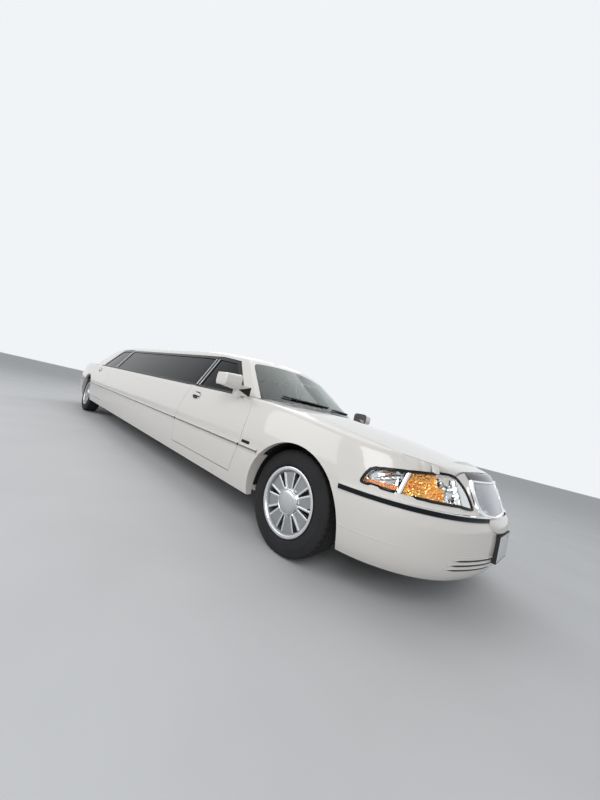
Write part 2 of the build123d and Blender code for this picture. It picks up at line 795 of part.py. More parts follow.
# Cowl panel between hood and windshield, with the bulkhead, floor and tunnel in one shell
cowl_half_width = cabin_end_half_width
tunnel_half_width = 190
tunnel_top_z = 520
tunnel_rear_x = fx(-1500)
floor_front_x = fx(-470)
riser_x = rx(436)
rear_floor_z = rail_rear_z + rail_height + floor_thickness
rear_floor_half_width = 676
floor_rear_x = rx(-1200)
bulkhead_top_z = 930
cowl_shelf_z = 880
sheet_steel = 20
cowl_foot_x = fx(-560)
with BuildPart() as floor_pan:
    add(box((riser_x, floor_front_x), (-cabin_end_half_width, cabin_end_half_width),
            (floor_z - floor_thickness, floor_z)))
    add(box((floor_front_x - sheet_steel, floor_front_x), (-cabin_end_half_width,
            cabin_end_half_width), (floor_z - floor_thickness, bulkhead_top_z)))
    add(box((tunnel_rear_x, floor_front_x), (-tunnel_half_width, tunnel_half_width),
            (floor_z, tunnel_top_z)))
    add(box((tunnel_rear_x + sheet_steel, floor_front_x + 1), (
        -tunnel_half_width + sheet_steel, tunnel_half_width - sheet_steel),
        (floor_z - floor_thickness, tunnel_top_z - sheet_steel)), mode=Mode.SUBTRACT)
    add(box((riser_x, riser_x + sheet_steel), (-cabin_end_half_width, cabin_end_half_width),
            (floor_z, rear_floor_z)))
    add(box((floor_rear_x, riser_x + 1), (-rear_floor_half_width, rear_floor_half_width),
            (rear_floor_z - floor_thickness, rear_floor_z)))
    cowl = cut(front_skin, hood_room)
    add(keep(cowl, box(
        (fx(-690), fx(-440)), (-cowl_half_width, cowl_half_width), (bulkhead_top_z, 1100))))
    add(box((cowl_foot_x, floor_front_x), (-560, 560), (cowl_shelf_z, cowl_shelf_z + 30)))
    add(box((cowl_foot_x, cowl_foot_x + sheet_steel), (-300, 300), (cowl_shelf_z, 1000)))
save(floor_pan.part, "floor_and_bulkhead")

# Rear quarters with the panel below the backlight, cut for the trunk lid and the lamps
trunk_half_plan = [
    (rx(-470), 700), (rx(-1240), 700), (rx(-1325), 628), (rx(-1500), 628),
]
trunk_front_x = rx(-592)
trunk_foot_z = 690


def trunk_prism(gap):
    """Upright prism of the trunk lid's outline, or of its opening with a gap added."""
    with BuildPart() as prism:
        with BuildSketch(Plane.XY.offset(trunk_foot_z - gap)):
            with BuildLine():
                half = [(x + (lid_corner_share * gap if x > trunk_front_x else -gap), y + gap)
                        for x, y in trunk_half_plan]
                left = Polyline(half)
                right = Polyline([(x, -y) for x, y in half])
                Line(left @ 1, right @ 1)
                ThreePointArc(left @ 0, (trunk_front_x + gap, 0), right @ 0)
            make_face()
        extrude(amount=500)
    return prism.part


rear_skin = keep(
    cut(rear_outer, rear_inner), box((rx(-1500), rx(140)), (-1100, 1100), (rear_seam_z, 1100)))
trunk_room = trunk_prism(moving_gap)
tail_lamp_zone = left_and_right(box((rx(-1500), rx(-1150)), (648, 1100), (700, 880)))
trunk_lid = keep(rear_skin, trunk_prism(0))
save(trunk_lid, "trunk_lid")
tail_lamps = keep(cut(rear_skin, trunk_room), tail_lamp_zone)
save(tail_lamps, "tail_lamps")
with BuildPart() as rear_quarters:
    add(rear_skin)
    add(trunk_room, mode=Mode.SUBTRACT)
    add(tail_lamp_zone, mode=Mode.SUBTRACT)
    add(rear_arch, mode=Mode.SUBTRACT)
    mirror(rear_arch, about=Plane.XZ, mode=Mode.SUBTRACT)
save(rear_quarters.part, "rear_quarters")

# Wheel house liners over each wheel, cut free of the bumper covers
front_bumper_room = cut(
    bumper_solid(front_bumper_rows, front_axle_x, front_overhang, 1, nose_plan, 0),
    bumper_solid(front_bumper_rows, front_axle_x, front_overhang, 1, nose_plan, bumper_wall + 1))
rear_bumper_room = cut(
    bumper_solid(rear_bumper_rows, rear_axle_x, rear_overhang, -1, tail_plan, 0),
    bumper_solid(rear_bumper_rows, rear_axle_x, rear_overhang, -1, tail_plan, bumper_wall + 1))
with BuildPart() as liners:
    for centre_x, centre_z, inner_y, window, gap in (
        (fx(front_arch_shift), front_arch_z, 486, 220, steered_liner_gap),
        (rx(rear_arch_shift), rear_arch_z, 690, 70, liner_gap),
    ):
        radius = arch_radius + gap
        ring = cut(
            drum(centre_x, (inner_y, liner_outer_y), centre_z, radius + liner_wall),
            drum(centre_x, (inner_y + liner_wall, liner_outer_y + 1), centre_z, radius),
            box((centre_x - 600, centre_x + 600), (0, 1000), (-200, centre_z)),
            box((centre_x - window, centre_x + window), (inner_y - 9, inner_y + 9), (0, 520)),
        )
        add(ring)
        mirror(ring, about=Plane.XZ)
    for shell_room in (front_bumper_room, rear_bumper_room):
        add(shell_room, mode=Mode.SUBTRACT)
save(liners.part, "wheel_house_liners")

# Tyre section, from the bead round the tread and back, then spun about the axle
bead_half_width = 94
tread_shoulder_radius = 331
tread_edge_radius = 346
sidewall_radius = 272
with BuildPart() as tyre:
    with BuildSketch(Plane.XZ):
        with BuildLine():
            bead = (bead_half_width, tyre_bore)
            flange_top = (bead_half_width, rim_flange_radius + 3)
            bulge = (tyre_width / 2, sidewall_radius)
            turn = (tread_half_width + 12, tread_shoulder_radius)
            edge = (tread_half_width, tread_edge_radius)
            low_turn = (tyre_width / 2 - 4, sidewall_radius - 24)
            high_turn = (tyre_width / 2 - 4, sidewall_radius + 30)
            half = [bead, flange_top, low_turn, bulge, high_turn, turn, edge, (0, tyre_radius)]
            Polyline(half + [(-x, z) for x, z in reversed(half[:-1])], close=True)
        make_face()
    revolve(axis=Axis.X)

# Cast wheel about the X axis, its outside towards +X: barrel with flanges, eight flat
# spokes, domed hub cap and the brake disc behind
spoke_count = 8
spoke_root_radius = 60
spoke_root_width = 50
spoke_tip_width = 116
spoke_back = 60
spoke_thickness = 22
hub_radius = 84
hub_rise = 16
hub_round = 12
disc_radius = 152
disc_back = -8
disc_thickness = 22
disc_hat_radius = 70
flange_thickness = 9
spindle_radius = 24
spindle_reach = 38
with BuildPart() as hub:
    with BuildSketch(Plane.YZ.offset(spoke_back)):
        Circle(hub_radius)
    extrude(amount=spoke_thickness + hub_rise)
    fillet(hub.faces().sort_by(Axis.X)[-1].edges(), hub_round)
with BuildPart() as spoke:
    with BuildSketch(Plane.YZ.offset(spoke_back)):
        with BuildLine():
            Polyline(
                (spoke_root_radius, -spoke_root_width / 2), (rim_well_radius + 4, -spoke_tip_width / 2),
                (rim_well_radius + 4, spoke_tip_width / 2), (spoke_root_radius, spoke_root_width / 2),
                close=True,
            )
        make_face()
    extrude(amount=spoke_thickness)
with BuildPart() as rim:
    with BuildSketch(Plane.XZ):
        with BuildLine():
            seat_radius = tyre_bore - seat_gap
            inner_edge = rim_half_width - flange_thickness
            Polyline(
                (-rim_half_width, rim_flange_radius), (-inner_edge, rim_flange_radius),
                (-inner_edge, seat_radius), (inner_edge, seat_radius),
                (inner_edge, rim_flange_radius), (rim_half_width, rim_flange_radius),
                (rim_half_width, seat_radius - 4), (rim_half_width - 16, rim_well_radius),
                (-rim_half_width, rim_well_radius + 6), close=True,
            )
        make_face()
    revolve(axis=Axis.X)
    add(hub.part)
    for number in range(spoke_count):
        add(Rot(number * 360 / spoke_count + 15, 0, 0) * spoke.part)
    with BuildSketch(Plane.YZ.offset(disc_back)):
        Circle(disc_radius)
    extrude(amount=disc_thickness)
    with BuildSketch(Plane.YZ.offset(disc_back)):
        Circle(disc_hat_radius)
    extrude(amount=spoke_back - disc_back)
    with BuildSketch(Plane.YZ.offset(disc_back)):
        Circle(spindle_radius + seat_gap)
    extrude(amount=spindle_reach + seat_gap, mode=Mode.SUBTRACT)

for end, axle_x, track in (("front", front_axle_x, front_track), ("rear", rear_axle_x, rear_track)):
    for side, turn in (("left", 90), ("right", -90)):
        middle_y = track / 2 if side == "left" else -track / 2
        place = Pos(axle_x, middle_y, wheel_centre_z) * Rot(0, 0, turn)
        save(place * tyre.part, f"{end}_tyre_{side}")
        save(place * rim.part, f"{end}_wheel_{side}")

# Steering knuckle with its pins, spindle and caliper
kingpin_y = front_track / 2 - 75
disc_inner_y = front_track / 2 + disc_back
upright_z = (226, 460)
pin_radius = 12
lower_arm_z = (198, 218)
upper_arm_z = (468, 484)
brake_gap = 5
caliper_reach = 176
with BuildPart() as knuckle:
    add(box((fx(-28), fx(28)), (kingpin_y - 18, kingpin_y + 18), upright_z))
    add(post(fx(0), kingpin_y, (lower_arm_z[0] - 6, upright_z[0]), pin_radius))
    add(post(fx(0), kingpin_y, (upright_z[1], upper_arm_z[1] + 6), pin_radius))
    add(drum(fx(0), (kingpin_y, disc_inner_y - brake_gap), wheel_centre_z, spindle_radius + 16))
    add(drum(fx(0), (kingpin_y, disc_inner_y + spindle_reach), wheel_centre_z, spindle_radius))
    add(box((fx(-caliper_reach), fx(0)), (disc_inner_y - 34, disc_inner_y - brake_gap),
            (wheel_centre_z - 36, wheel_centre_z + 36)))
    add(box((fx(-caliper_reach), fx(-104)), (disc_inner_y - 34, disc_inner_y + disc_thickness + 24),
            (wheel_centre_z - 56, wheel_centre_z + 56)))
    add(drum(fx(0), (disc_inner_y - brake_gap, disc_inner_y + disc_thickness + brake_gap),
             wheel_centre_z, disc_radius + brake_gap), mode=Mode.SUBTRACT)
    add(drum(fx(0), (disc_inner_y - brake_gap - 1, disc_inner_y + spindle_reach), wheel_centre_z,
             spindle_radius))
save(knuckle.part, "knuckle_left")
save(mirror(knuckle.part, about=Plane.XZ), "knuckle_right")

# Ladder frame: two rails with a raised front and rear, and flat cross members
rail_front_x = fx(840)
rail_rear_x = rx(-1240)
rail_line = [
    (rail_front_x, rail_front_z), (fx(-200), rail_front_z), (fx(-420), rail_low_z),
    (rx(420), rail_low_z), (rx(190), rail_rear_z), (rail_rear_x, rail_rear_z),
]
cross_member = 25
# Columns: X, height of the underside
cross_members = [
    (fx(760), rail_front_z), (fx(-760), rail_low_z), (fx(-1700), rail_low_z),
    (fx(-2700), rail_low_z), (fx(-3700), rail_low_z), (rx(1200), rail_low_z),
    (rx(860), rail_low_z), (rx(-340), rail_rear_z), (rx(-1160), rail_rear_z),
]
beam_depth = 50
absorber_gap = 14
with BuildPart() as frame:
    rail = side_prism(
        rail_line + [(x, z + rail_height) for x, z in reversed(rail_line)], *rail_y)
    add(rail)
    mirror(rail, about=Plane.XZ)
    for x, z in cross_members:
        add(box((x - 60, x + 60), (-rail_y[0], rail_y[0]), (z, z + cross_member)))
    add(box((rail_front_x, rail_front_x + beam_depth), (-rail_y[1], rail_y[1]),
            (rail_front_z, rail_front_z + rail_height)))
    add(box((rail_rear_x - beam_depth, rail_rear_x), (-560, 560),
            (rail_rear_z, rail_rear_z + rail_height)))
    absorber = fx(front_overhang - bumper_wall) - absorber_gap
    add(box((rail_front_x + beam_depth, absorber), (-120, 120), (400, 430)))
    rear_absorber = rx(-rear_overhang + bumper_wall) + absorber_gap
    add(box((rear_absorber, rail_rear_x - beam_depth), (-120, 120), (rail_rear_z, 470)))
    for x in (fx(-800), fx(-2200), fx(-3400), rx(1000)):
        for y in (-425, 425):
            add(post(x, y, (rail_low_z + rail_height, floor_z - floor_thickness), 36))
save(frame.part, "chassis_frame")

# Front suspension: cross member, arms round the knuckle's pins, springs
arm_plan = [(-40, 760), (40, 760), (44, 640), (170, 470), (-170, 470), (-44, 640)]
with BuildPart() as suspension:
    add(box((fx(-170), fx(170)), (-470, 470), (lower_arm_z[0], lower_arm_z[1] + 12)))
    for side in (1, -1):
        outline = [(fx(x), side * y) for x, y in arm_plan]
        add(plan_prism(outline, *lower_arm_z))
        add(plan_prism(outline, *upper_arm_z))
        add(box((fx(-60), fx(60)), tuple(sorted((side * rail_y[0], side * rail_y[1]))),
                (lower_arm_z[1], rail_front_z)))
        add(box((fx(-150), fx(150)), tuple(sorted((side * 420, side * rail_y[1]))),
                (rail_front_z + rail_height, upper_arm_z[1])))
        add(box((fx(-50), fx(50)), tuple(sorted((side * rail_y[1], side * 612))),
                (rail_front_z + 70, rail_front_z + rail_height)))
        add(post(fx(0), side * 556, (lower_arm_z[0], rail_front_z + 72), 52))
        add(post(fx(0), side * kingpin_y, (lower_arm_z[0] - 1, upper_arm_z[1] + 1),
                 pin_radius + seat_gap), mode=Mode.SUBTRACT)
save(suspension.part, "front_suspension")

# Engine and gearbox block on mounts against the rails
with BuildPart() as engine:
    add(box((fx(-330), fx(420)), (-230, 230), (340, 800)))
    add(box((fx(-50), fx(50)), (-rail_y[0], rail_y[0]), (360, 400)))
    add(box((fx(-1050), fx(-330)), (-140, 140), (235, 470)))
save(engine.part, "engine_block")

# Rear axle with its housing, arms, springs and the propeller shaft
shaft_z = 262
shaft_radius = 34
axle_tube_radius = 42
shaft_bend = 425
axle_flange_y = rear_track / 2 + disc_back - 10
with BuildPart() as axle:
    add(drum(rx(0), (-axle_flange_y, axle_flange_y), wheel_centre_z, axle_tube_radius))
    add(drum(rx(0), (-rear_track / 2 - disc_back - spindle_reach,
             rear_track / 2 + disc_back + spindle_reach), wheel_centre_z, spindle_radius))
    add(drum(rx(0), (-110, 110), wheel_centre_z, 122))
    with BuildSketch(Plane(origin=(fx(-1050), 0, shaft_z), x_dir=(0, 1, 0), z_dir=(-1, 0, 0))):
        Circle(shaft_radius)
    extrude(amount=fx(-1050) - rx(shaft_bend))
    lift = Plane(
        origin=(rx(shaft_bend + 6), 0, shaft_z), x_dir=(0, 1, 0),
        z_dir=(-shaft_bend, 0, wheel_centre_z - shaft_z),
    )
    with BuildSketch(lift):
        Circle(shaft_radius)
    extrude(amount=shaft_bend)
    for side in (1, -1):
        arm = side_prism([(rx(0), 326), (rx(0), 366), (rx(600), 280), (rx(600), 240)], 500, 545)
        add(arm if side == 1 else mirror(arm, about=Plane.XZ, mode=Mode.PRIVATE))
        add(box((rx(540), rx(600)), tuple(sorted((side * rail_y[1], side * 545))), (240, 280)))
        add(post(rx(0), side * 425, (wheel_centre_z, rail_rear_z), 48))
save(axle.part, "rear_axle")

# Exhaust: a pipe and a silencer on each side, over the axle to the tail
pipe_radius = 27
pipe_y = 250
exhaust_route = [
    (fx(-560), shaft_z), (rx(400), shaft_z), (rx(180), 480), (rx(-430), 480), (rx(-700), 330),
    (rx(-1300), 310),
]
with BuildLine() as route:
    FilletPolyline([(x, pipe_y, z) for x, z in exhaust_route], radius=80)
with BuildPart() as pipe:
    with BuildSketch(Plane(
        origin=(exhaust_route[0][0], pipe_y, shaft_z), x_dir=(0, 1, 0), z_dir=(-1, 0, 0)
    )):
        Circle(pipe_radius)
    sweep(path=route.line)
    add(box((fx(-3000), fx(-2350)), (160, 340), (228, 300)))
    for x in (fx(-1300), fx(-2700), rx(1100)):
        add(box((x - 20, x + 20), (235, 265), (shaft_z, floor_z - floor_thickness)))
exhaust = left_and_right(pipe.part)
save(exhaust, "exhaust")

# Dashboard with its column
column_y = 370
column_angle = 24
column_end = (fx(-960), 826)
with BuildPart() as dashboard:
    with BuildSketch(Plane.XZ.offset(-cowl_half_width)):
        with BuildLine():
            Polyline(
                (fx(-560), 700), (fx(-560), 915), (fx(-700), 944), (fx(-880), 920),
                (fx(-905), 840), (fx(-820), 700), close=True,
            )
        make_face()
    extrude(amount=2 * cowl_half_width)
    column = Plane(
        origin=(column_end[0] + 120 * cos(radians(column_angle)), column_y,
                column_end[1] - 120 * sin(radians(column_angle))),
        x_dir=(0, 1, 0), z_dir=(-cos(radians(column_angle)), 0, sin(radians(column_angle))),
    )
    with BuildSketch(column):
        Circle(38)
    extrude(amount=120)
save(dashboard.part, "dashboard")

# Steering wheel: a ring, two spokes and a hub across the column
wheel_ring_radius = 182
wheel_ring_thickness = 14
wheel_stand = 46
with BuildPart() as steering_wheel:
    facing = Plane(
        origin=(column_end[0] - seat_gap * cos(radians(column_angle)), column_y,
                column_end[1] + seat_gap * sin(radians(column_angle))),
        x_dir=(0, 1, 0), z_dir=(-cos(radians(column_angle)), 0, sin(radians(column_angle))),
    )
    with BuildSketch(facing):
        Circle(44)
    extrude(amount=wheel_stand)
    with BuildSketch(facing.offset(wheel_stand - 18)):
        Rectangle(2 * wheel_ring_radius - 10, 40)
    extrude(amount=14)
    add(facing.offset(wheel_stand - 11).location * Torus(
        wheel_ring_radius, wheel_ring_thickness, mode=Mode.PRIVATE))
save(steering_wheel.part, "steering_wheel")


def seat(x_back, x_front, y, cushion_z, back_top_z, lean, arm):
    """Cushion and backrest as one padded outline across the car."""
    with BuildPart() as chair:
        with BuildSketch(Plane.XZ.offset(-y[1])):
            with BuildLine():
                Polyline(
                    (x_front, cushion_z[0]), (x_front, cushion_z[1]), (x_back + arm, cushion_z[1] - 20),
                    (x_back + arm - lean, back_top_z), (x_back - lean, back_top_z),
                    (x_back, cushion_z[0]), close=True,
                )
            make_face()
        extrude(amount=y[1] - y[0])
        fillet(chair.edges().filter_by(Axis.Y), 26)
    return chair.part


with BuildPart() as seats:
    for y in ((205, 700), (-700, -205)):
        add(seat(fx(-1760), fx(-1180), y, (floor_z, 590), 1130, 110, 150))
    add(seat(rx(560), rx(1130), (-740, 740), (floor_z, 600), 1120, 100, 160))
    with BuildSketch(Plane.YZ.offset(rx(1250))):
        with BuildLine():
            Polyline(
                (-320, floor_z), (-320, 560), (-690, 545), (-700, 950), (-820, 950),
                (-820, floor_z), close=True,
            )
        make_face()
    extrude(amount=fx(-2450) - rx(1250))
save(seats.part, "seats")

# Partition between the driver's compartment and the lounge
with BuildPart() as partition:
    add(box((fx(-2030), fx(-1990)), (-840, 840), (floor_z, 960)))
    add(box((fx(-2024), fx(-1996)), (-600, 600), (960, 1300)))
save(partition.part, "partition")
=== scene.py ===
import json
from math import atan2, cos, exp, pi, radians, sin, sqrt

import bpy
from mathutils import Matrix, Vector
from mathutils.bvhtree import BVHTree
from mathutils.kdtree import KDTree


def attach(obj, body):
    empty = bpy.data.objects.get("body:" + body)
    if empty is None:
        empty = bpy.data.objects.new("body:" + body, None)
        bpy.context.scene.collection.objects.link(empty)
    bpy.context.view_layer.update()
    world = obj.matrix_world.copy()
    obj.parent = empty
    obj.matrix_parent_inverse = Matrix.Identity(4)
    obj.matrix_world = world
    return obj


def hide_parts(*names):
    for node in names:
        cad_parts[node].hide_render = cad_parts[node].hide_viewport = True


bl_info = {
    "name": "Stretch limousine dressing",
    "version": (1, 0, 0),
    "blender": (4, 5, 0),
    "location": "View3D > Sidebar > Limousine",
    "description": "Dresses the solids of a stretch limousine with paint, glass, trim and details",
    "category": "Object",
}

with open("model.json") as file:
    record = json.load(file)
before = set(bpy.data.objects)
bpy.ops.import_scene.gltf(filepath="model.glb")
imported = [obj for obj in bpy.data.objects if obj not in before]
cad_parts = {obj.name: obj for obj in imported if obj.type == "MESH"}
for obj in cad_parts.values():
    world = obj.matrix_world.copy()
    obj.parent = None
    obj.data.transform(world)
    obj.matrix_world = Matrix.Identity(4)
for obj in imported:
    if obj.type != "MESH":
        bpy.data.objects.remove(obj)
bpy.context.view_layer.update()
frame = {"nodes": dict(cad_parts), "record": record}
nodes = frame["nodes"]
body_of_node = {
    node: body for body, held in frame["record"]["behaviour"]["bodies"].items() for node in held
}

# Places along the car and heights above the ground, in metres
FRONT_AXLE = 3.1885
REAR_AXLE = -2.8495
AXLE_Z = 0.351
BELT_Z = 0.985
FRAME_TOP_Z = 1.3755
BUMPER_SEAM_Z = 0.597

# Each side with the sign of its Y, and each pair of wheels with its axle and half track
SIDES = (("left", 1), ("right", -1))
WHEELS = (("front", FRONT_AXLE, 0.805), ("rear", REAR_AXLE, 0.833))


def fx(distance):
    """X of a place given ahead of the front axle."""
    return FRONT_AXLE + distance


def rx(distance):
    """X of a place given ahead of the rear axle."""
    return REAR_AXLE + distance


# Low and high edges of the headlamp, as (x, z), and the edge of the hood, as (x, y)
LAMP_LOW = ((fx(0.505), 0.655), (fx(1.030), 0.640))
LAMP_HIGH = ((fx(0.528), 0.742), (fx(0.880), 0.806), (fx(1.030), 0.815))
HOOD_EDGE = ((fx(0.300), 0.788), (fx(0.606), 0.742), (fx(0.719), 0.640), (fx(0.840), 0.478))
LAMP_CORNER = fx(0.80)

# On the nose, as (y, z): the edges of the lamp's inner tip, the grille's outline from its
# middle out and up, and the outline of the bumper's bulge in the same way
LAMP_INNER = 0.478
LAMP_TIP = 0.384
INNER_LOW = ((0.383, 0.634), (0.430, 0.634), (0.478, 0.640))
INNER_HIGH = ((0.383, 0.646), (0.388, 0.684), (0.402, 0.722), (0.430, 0.757), (0.452, 0.776),
              (0.478, 0.797))
GRILLE_FOOT = ((0.0, 0.592), (0.120, 0.5935), (0.222, 0.599), (0.286, 0.611), (0.324, 0.633))
GRILLE_SIDE = ((0.344, 0.668), (0.350, 0.705), (0.346, 0.735), (0.326, 0.782))
BULGE = ((0.0, 0.5100), (0.10, 0.5105), (0.168, 0.5135), (0.204, 0.523), (0.232, 0.538),
         (0.252, 0.556), (0.262, 0.572), (0.262, 0.586))


# Finishes

finishes = {}


def finish(name, colour, rough=0.5, metal=0.0, coat=0.0, coat_rough=0.03, grain=0.0,
           grain_size=400.0, mottle=0.0, mottle_size=6.0, through=0.0, ior=1.45, alpha=1.0):
    """Procedural finish: a base colour that varies a little, and a fine grain as bump."""
    if name in finishes:
        return finishes[name]
    made = bpy.data.materials.new(name)
    made.use_nodes = True
    tree = made.node_tree
    shader = tree.nodes["Principled BSDF"]
    shader.inputs["Base Color"].default_value = (*colour, 1)
    shader.inputs["Roughness"].default_value = rough
    shader.inputs["Metallic"].default_value = metal
    shader.inputs["Coat Weight"].default_value = coat
    shader.inputs["Coat Roughness"].default_value = coat_rough
    shader.inputs["Transmission Weight"].default_value = through
    shader.inputs["IOR"].default_value = ior
    shader.inputs["Alpha"].default_value = alpha
    made.diffuse_color = (*colour, 1)
    if grain or mottle:
        place = tree.nodes.new("ShaderNodeTexCoord")
    if mottle:
        cloud = tree.nodes.new("ShaderNodeTexNoise")
        cloud.inputs["Scale"].default_value = mottle_size
        cloud.inputs["Detail"].default_value = 6
        tree.links.new(place.outputs["Object"], cloud.inputs["Vector"])
        ramp = tree.nodes.new("ShaderNodeValToRGB")
        low = [max(0.0, c * (1 - mottle)) for c in colour]
        high = [min(1.0, c * (1 + mottle)) for c in colour]
        ramp.color_ramp.elements[0].position = 0.3
        ramp.color_ramp.elements[0].color = (*low, 1)
        ramp.color_ramp.elements[1].position = 0.7
        ramp.color_ramp.elements[1].color = (*high, 1)
        tree.links.new(cloud.outputs["Fac"], ramp.inputs["Fac"])
        tree.links.new(ramp.outputs["Color"], shader.inputs["Base Color"])
    if grain:
        fine = tree.nodes.new("ShaderNodeTexNoise")
        fine.inputs["Scale"].default_value = grain_size
        fine.inputs["Detail"].default_value = 3
        tree.links.new(place.outputs["Object"], fine.inputs["Vector"])
        bump = tree.nodes.new("ShaderNodeBump")
        bump.inputs["Strength"].default_value = grain
        bump.inputs["Distance"].default_value = 0.001
        tree.links.new(fine.outputs["Fac"], bump.inputs["Height"])
        tree.links.new(bump.outputs["Normal"], shader.inputs["Normal"])
    finishes[name] = made
    return made


def pearl_paint():
    look = bpy.context.scene.limousine_looks
    return finish("pearl_paint", tuple(look.paint), rough=0.32, coat=1.0, coat_rough=0.03,
                  mottle=0.015, mottle_size=700)


def gloss_black():
    return finish("gloss_black", (0.008, 0.008, 0.009), rough=0.16, grain=0.02, ior=1.3)


def black_plastic():
    return finish("black_plastic", (0.02, 0.02, 0.021), rough=0.55, grain=0.25, grain_size=900)


def rubber():
    return finish("tyre_rubber", (0.012, 0.012, 0.013), rough=0.78, grain=0.3, grain_size=500,
                  mottle=0.25, mottle_size=9)


def chrome():
    return finish("chrome_trim", (0.86, 0.87, 0.88), rough=0.06, metal=1.0, mottle=0.02)


def machined():
    return finish("machined_alloy", (0.80, 0.81, 0.82), rough=0.24, metal=1.0, grain=0.12,
                  grain_size=260)


def recess_paint():
    return finish("grey_spoke_paint", (0.34, 0.35, 0.36), rough=0.38, metal=0.75, coat=0.4,
                  mottle=0.06, mottle_size=500)


def barrel_paint():
    return finish("barrel_paint", (0.30, 0.31, 0.32), rough=0.45, metal=0.7, mottle=0.1)


def brake_steel():
    return finish("brake_steel", (0.42, 0.41, 0.40), rough=0.35, metal=1.0, grain=0.2,
                  grain_size=300, mottle=0.15, mottle_size=40)


def cast_iron():
    return finish("cast_iron", (0.10, 0.095, 0.09), rough=0.8, metal=0.4, grain=0.5,
                  grain_size=160, mottle=0.25, mottle_size=30)


def tinted_glass():
    return finish("tinted_glass", (0.006, 0.007, 0.008), rough=0.02, through=0.5, ior=1.22)


def windshield_glass():
    return finish("windshield_glass", (0.62, 0.74, 0.70), rough=0.01, through=1.0, ior=1.35)


def lamp_glass():
    return finish("lamp_glass", (0.97, 0.98, 0.98), rough=0.01, through=1.0, ior=1.2)


def amber_glass():
    return finish("amber_glass", (0.95, 0.30, 0.03), rough=0.08, through=0.45, grain=0.6,
                  grain_size=90)


def red_glass():
    return finish("red_glass", (0.42, 0.008, 0.01), rough=0.08, coat=0.8, through=0.25,
                  grain=0.5, grain_size=80)


def leather():
    return finish("black_leather", (0.035, 0.033, 0.032), rough=0.42, grain=0.5, grain_size=260,
                  mottle=0.12, mottle_size=20)


def trim_grey():
    return finish("cabin_trim", (0.12, 0.11, 0.105), rough=0.7, grain=0.4, grain_size=420)


def headliner():
    return finish("headliner_cloth", (0.36, 0.34, 0.31), rough=0.95, grain=0.5, grain_size=900,
                  mottle=0.05)


def carpet():
    return finish("cabin_carpet", (0.05, 0.048, 0.046), rough=0.98, grain=0.9, grain_size=700,
                  mottle=0.3, mottle_size=120)


# Chrome with a dark reflection painted into its colour.
def painted_dark_reflection_chrome():
    return finish("chrome_with_painted_dark_reflection", (0.10, 0.095, 0.11), rough=0.10, metal=1.0, mottle=0.03)


def grille_chrome():
    return finish("grille_bar_chrome", (0.60, 0.61, 0.63), rough=0.14, metal=1.0, mottle=0.04,
                  mottle_size=60)


def lamp_silver():
    return finish("lamp_silver", (0.80, 0.81, 0.82), rough=0.10, metal=1.0, mottle=0.04,
                  mottle_size=60)


# Silver turn-signal bowl with the amber bulb's reflection painted into its colour.
def painted_amber_reflection():
    return finish("painted_amber_reflection", (1.0, 0.47, 0.13), rough=0.16, metal=0.9, mottle=0.12,
                  mottle_size=90)


def mirror_silver():
    return finish("mirror_silver", (0.72, 0.75, 0.77), rough=0.03, metal=1.0, mottle=0.01)


def plate_white():
    return finish("plate_white", (0.66, 0.67, 0.68), rough=0.35, mottle=0.03, mottle_size=12)


def white_lens():
    return finish("white_lens", (0.80, 0.80, 0.80), rough=0.12, coat=0.6, grain=0.5,
                  grain_size=120)


def cap_alloy():
    return finish("cap_alloy", (0.66, 0.67, 0.68), rough=0.20, metal=1.0, mottle=0.04,
                  mottle_size=30)


def floor_paint():
    look = bpy.context.scene.limousine_looks
    return finish("studio_floor_paint", tuple(look.floor), rough=0.6, mottle=0.03,
                  mottle_size=1.5)


# Modelling helpers


def clear_selection():
    if bpy.context.mode != "OBJECT":
        bpy.ops.object.mode_set(mode="OBJECT")
    bpy.ops.object.select_all(action="DESELECT")


def choose(thing):
    """Makes one object the only one selected and active."""
    clear_selection()
    thing.hide_set(False)
    thing.select_set(True)
    bpy.context.view_layer.objects.active = thing
    return thing


def start_edit(thing, action="SELECT"):
    """Opens an object's mesh for editing, with all of it selected or none of it."""
    choose(thing)
    bpy.ops.object.mode_set(mode="EDIT")
    bpy.ops.mesh.select_all(action=action)


def end_edit():
    bpy.ops.object.mode_set(mode="OBJECT")


def named(name):
    """Names the active object and its mesh, with its place applied to the mesh."""
    thing = bpy.context.object
    thing.name = name
    thing.data.name = name
    choose(thing)
    bpy.ops.object.transform_apply(location=True, rotation=True, scale=True)
    return thing


def mesh_object(name, verts, faces):
    """New object from its vertices and faces."""
    mesh = bpy.data.meshes.new(name)
    mesh.from_pydata(verts, [], faces)
    thing = bpy.data.objects.new(name, mesh)
    bpy.context.scene.collection.objects.link(thing)
    return thing


def faced_outward(thing):
    """Turns every face outward."""
    start_edit(thing)
    bpy.ops.mesh.normals_make_consistent(inside=False)
    end_edit()
    return thing


def grid_faces(columns, rows):
    """Faces of a grid whose vertices are listed column by column."""
    step = rows + 1
    return [(i * step + j, (i + 1) * step + j, (i + 1) * step + j + 1, i * step + j + 1)
            for i in range(columns) for j in range(rows)]


def twin_of(thing, name):
    """A copy with its own mesh."""
    twin = thing.copy()
    twin.data = thing.data.copy()
    bpy.context.scene.collection.objects.link(twin)
    twin.name = name
    twin.data.name = name
    return twin


def block(name, low, high, rounding=0.0, steps=2):
    """Rounded block between two corners."""
    clear_selection()
    middle = [(a + b) / 2 for a, b in zip(low, high)]
    size = [abs(b - a) for a, b in zip(low, high)]
    bpy.ops.mesh.primitive_cube_add(size=1, location=middle)
    bpy.context.object.scale = size
    thing = named(name)
    if rounding:
        start_edit(thing)
        bpy.ops.mesh.bevel(offset=rounding, segments=steps, affect="EDGES")
        end_edit()
    return thing


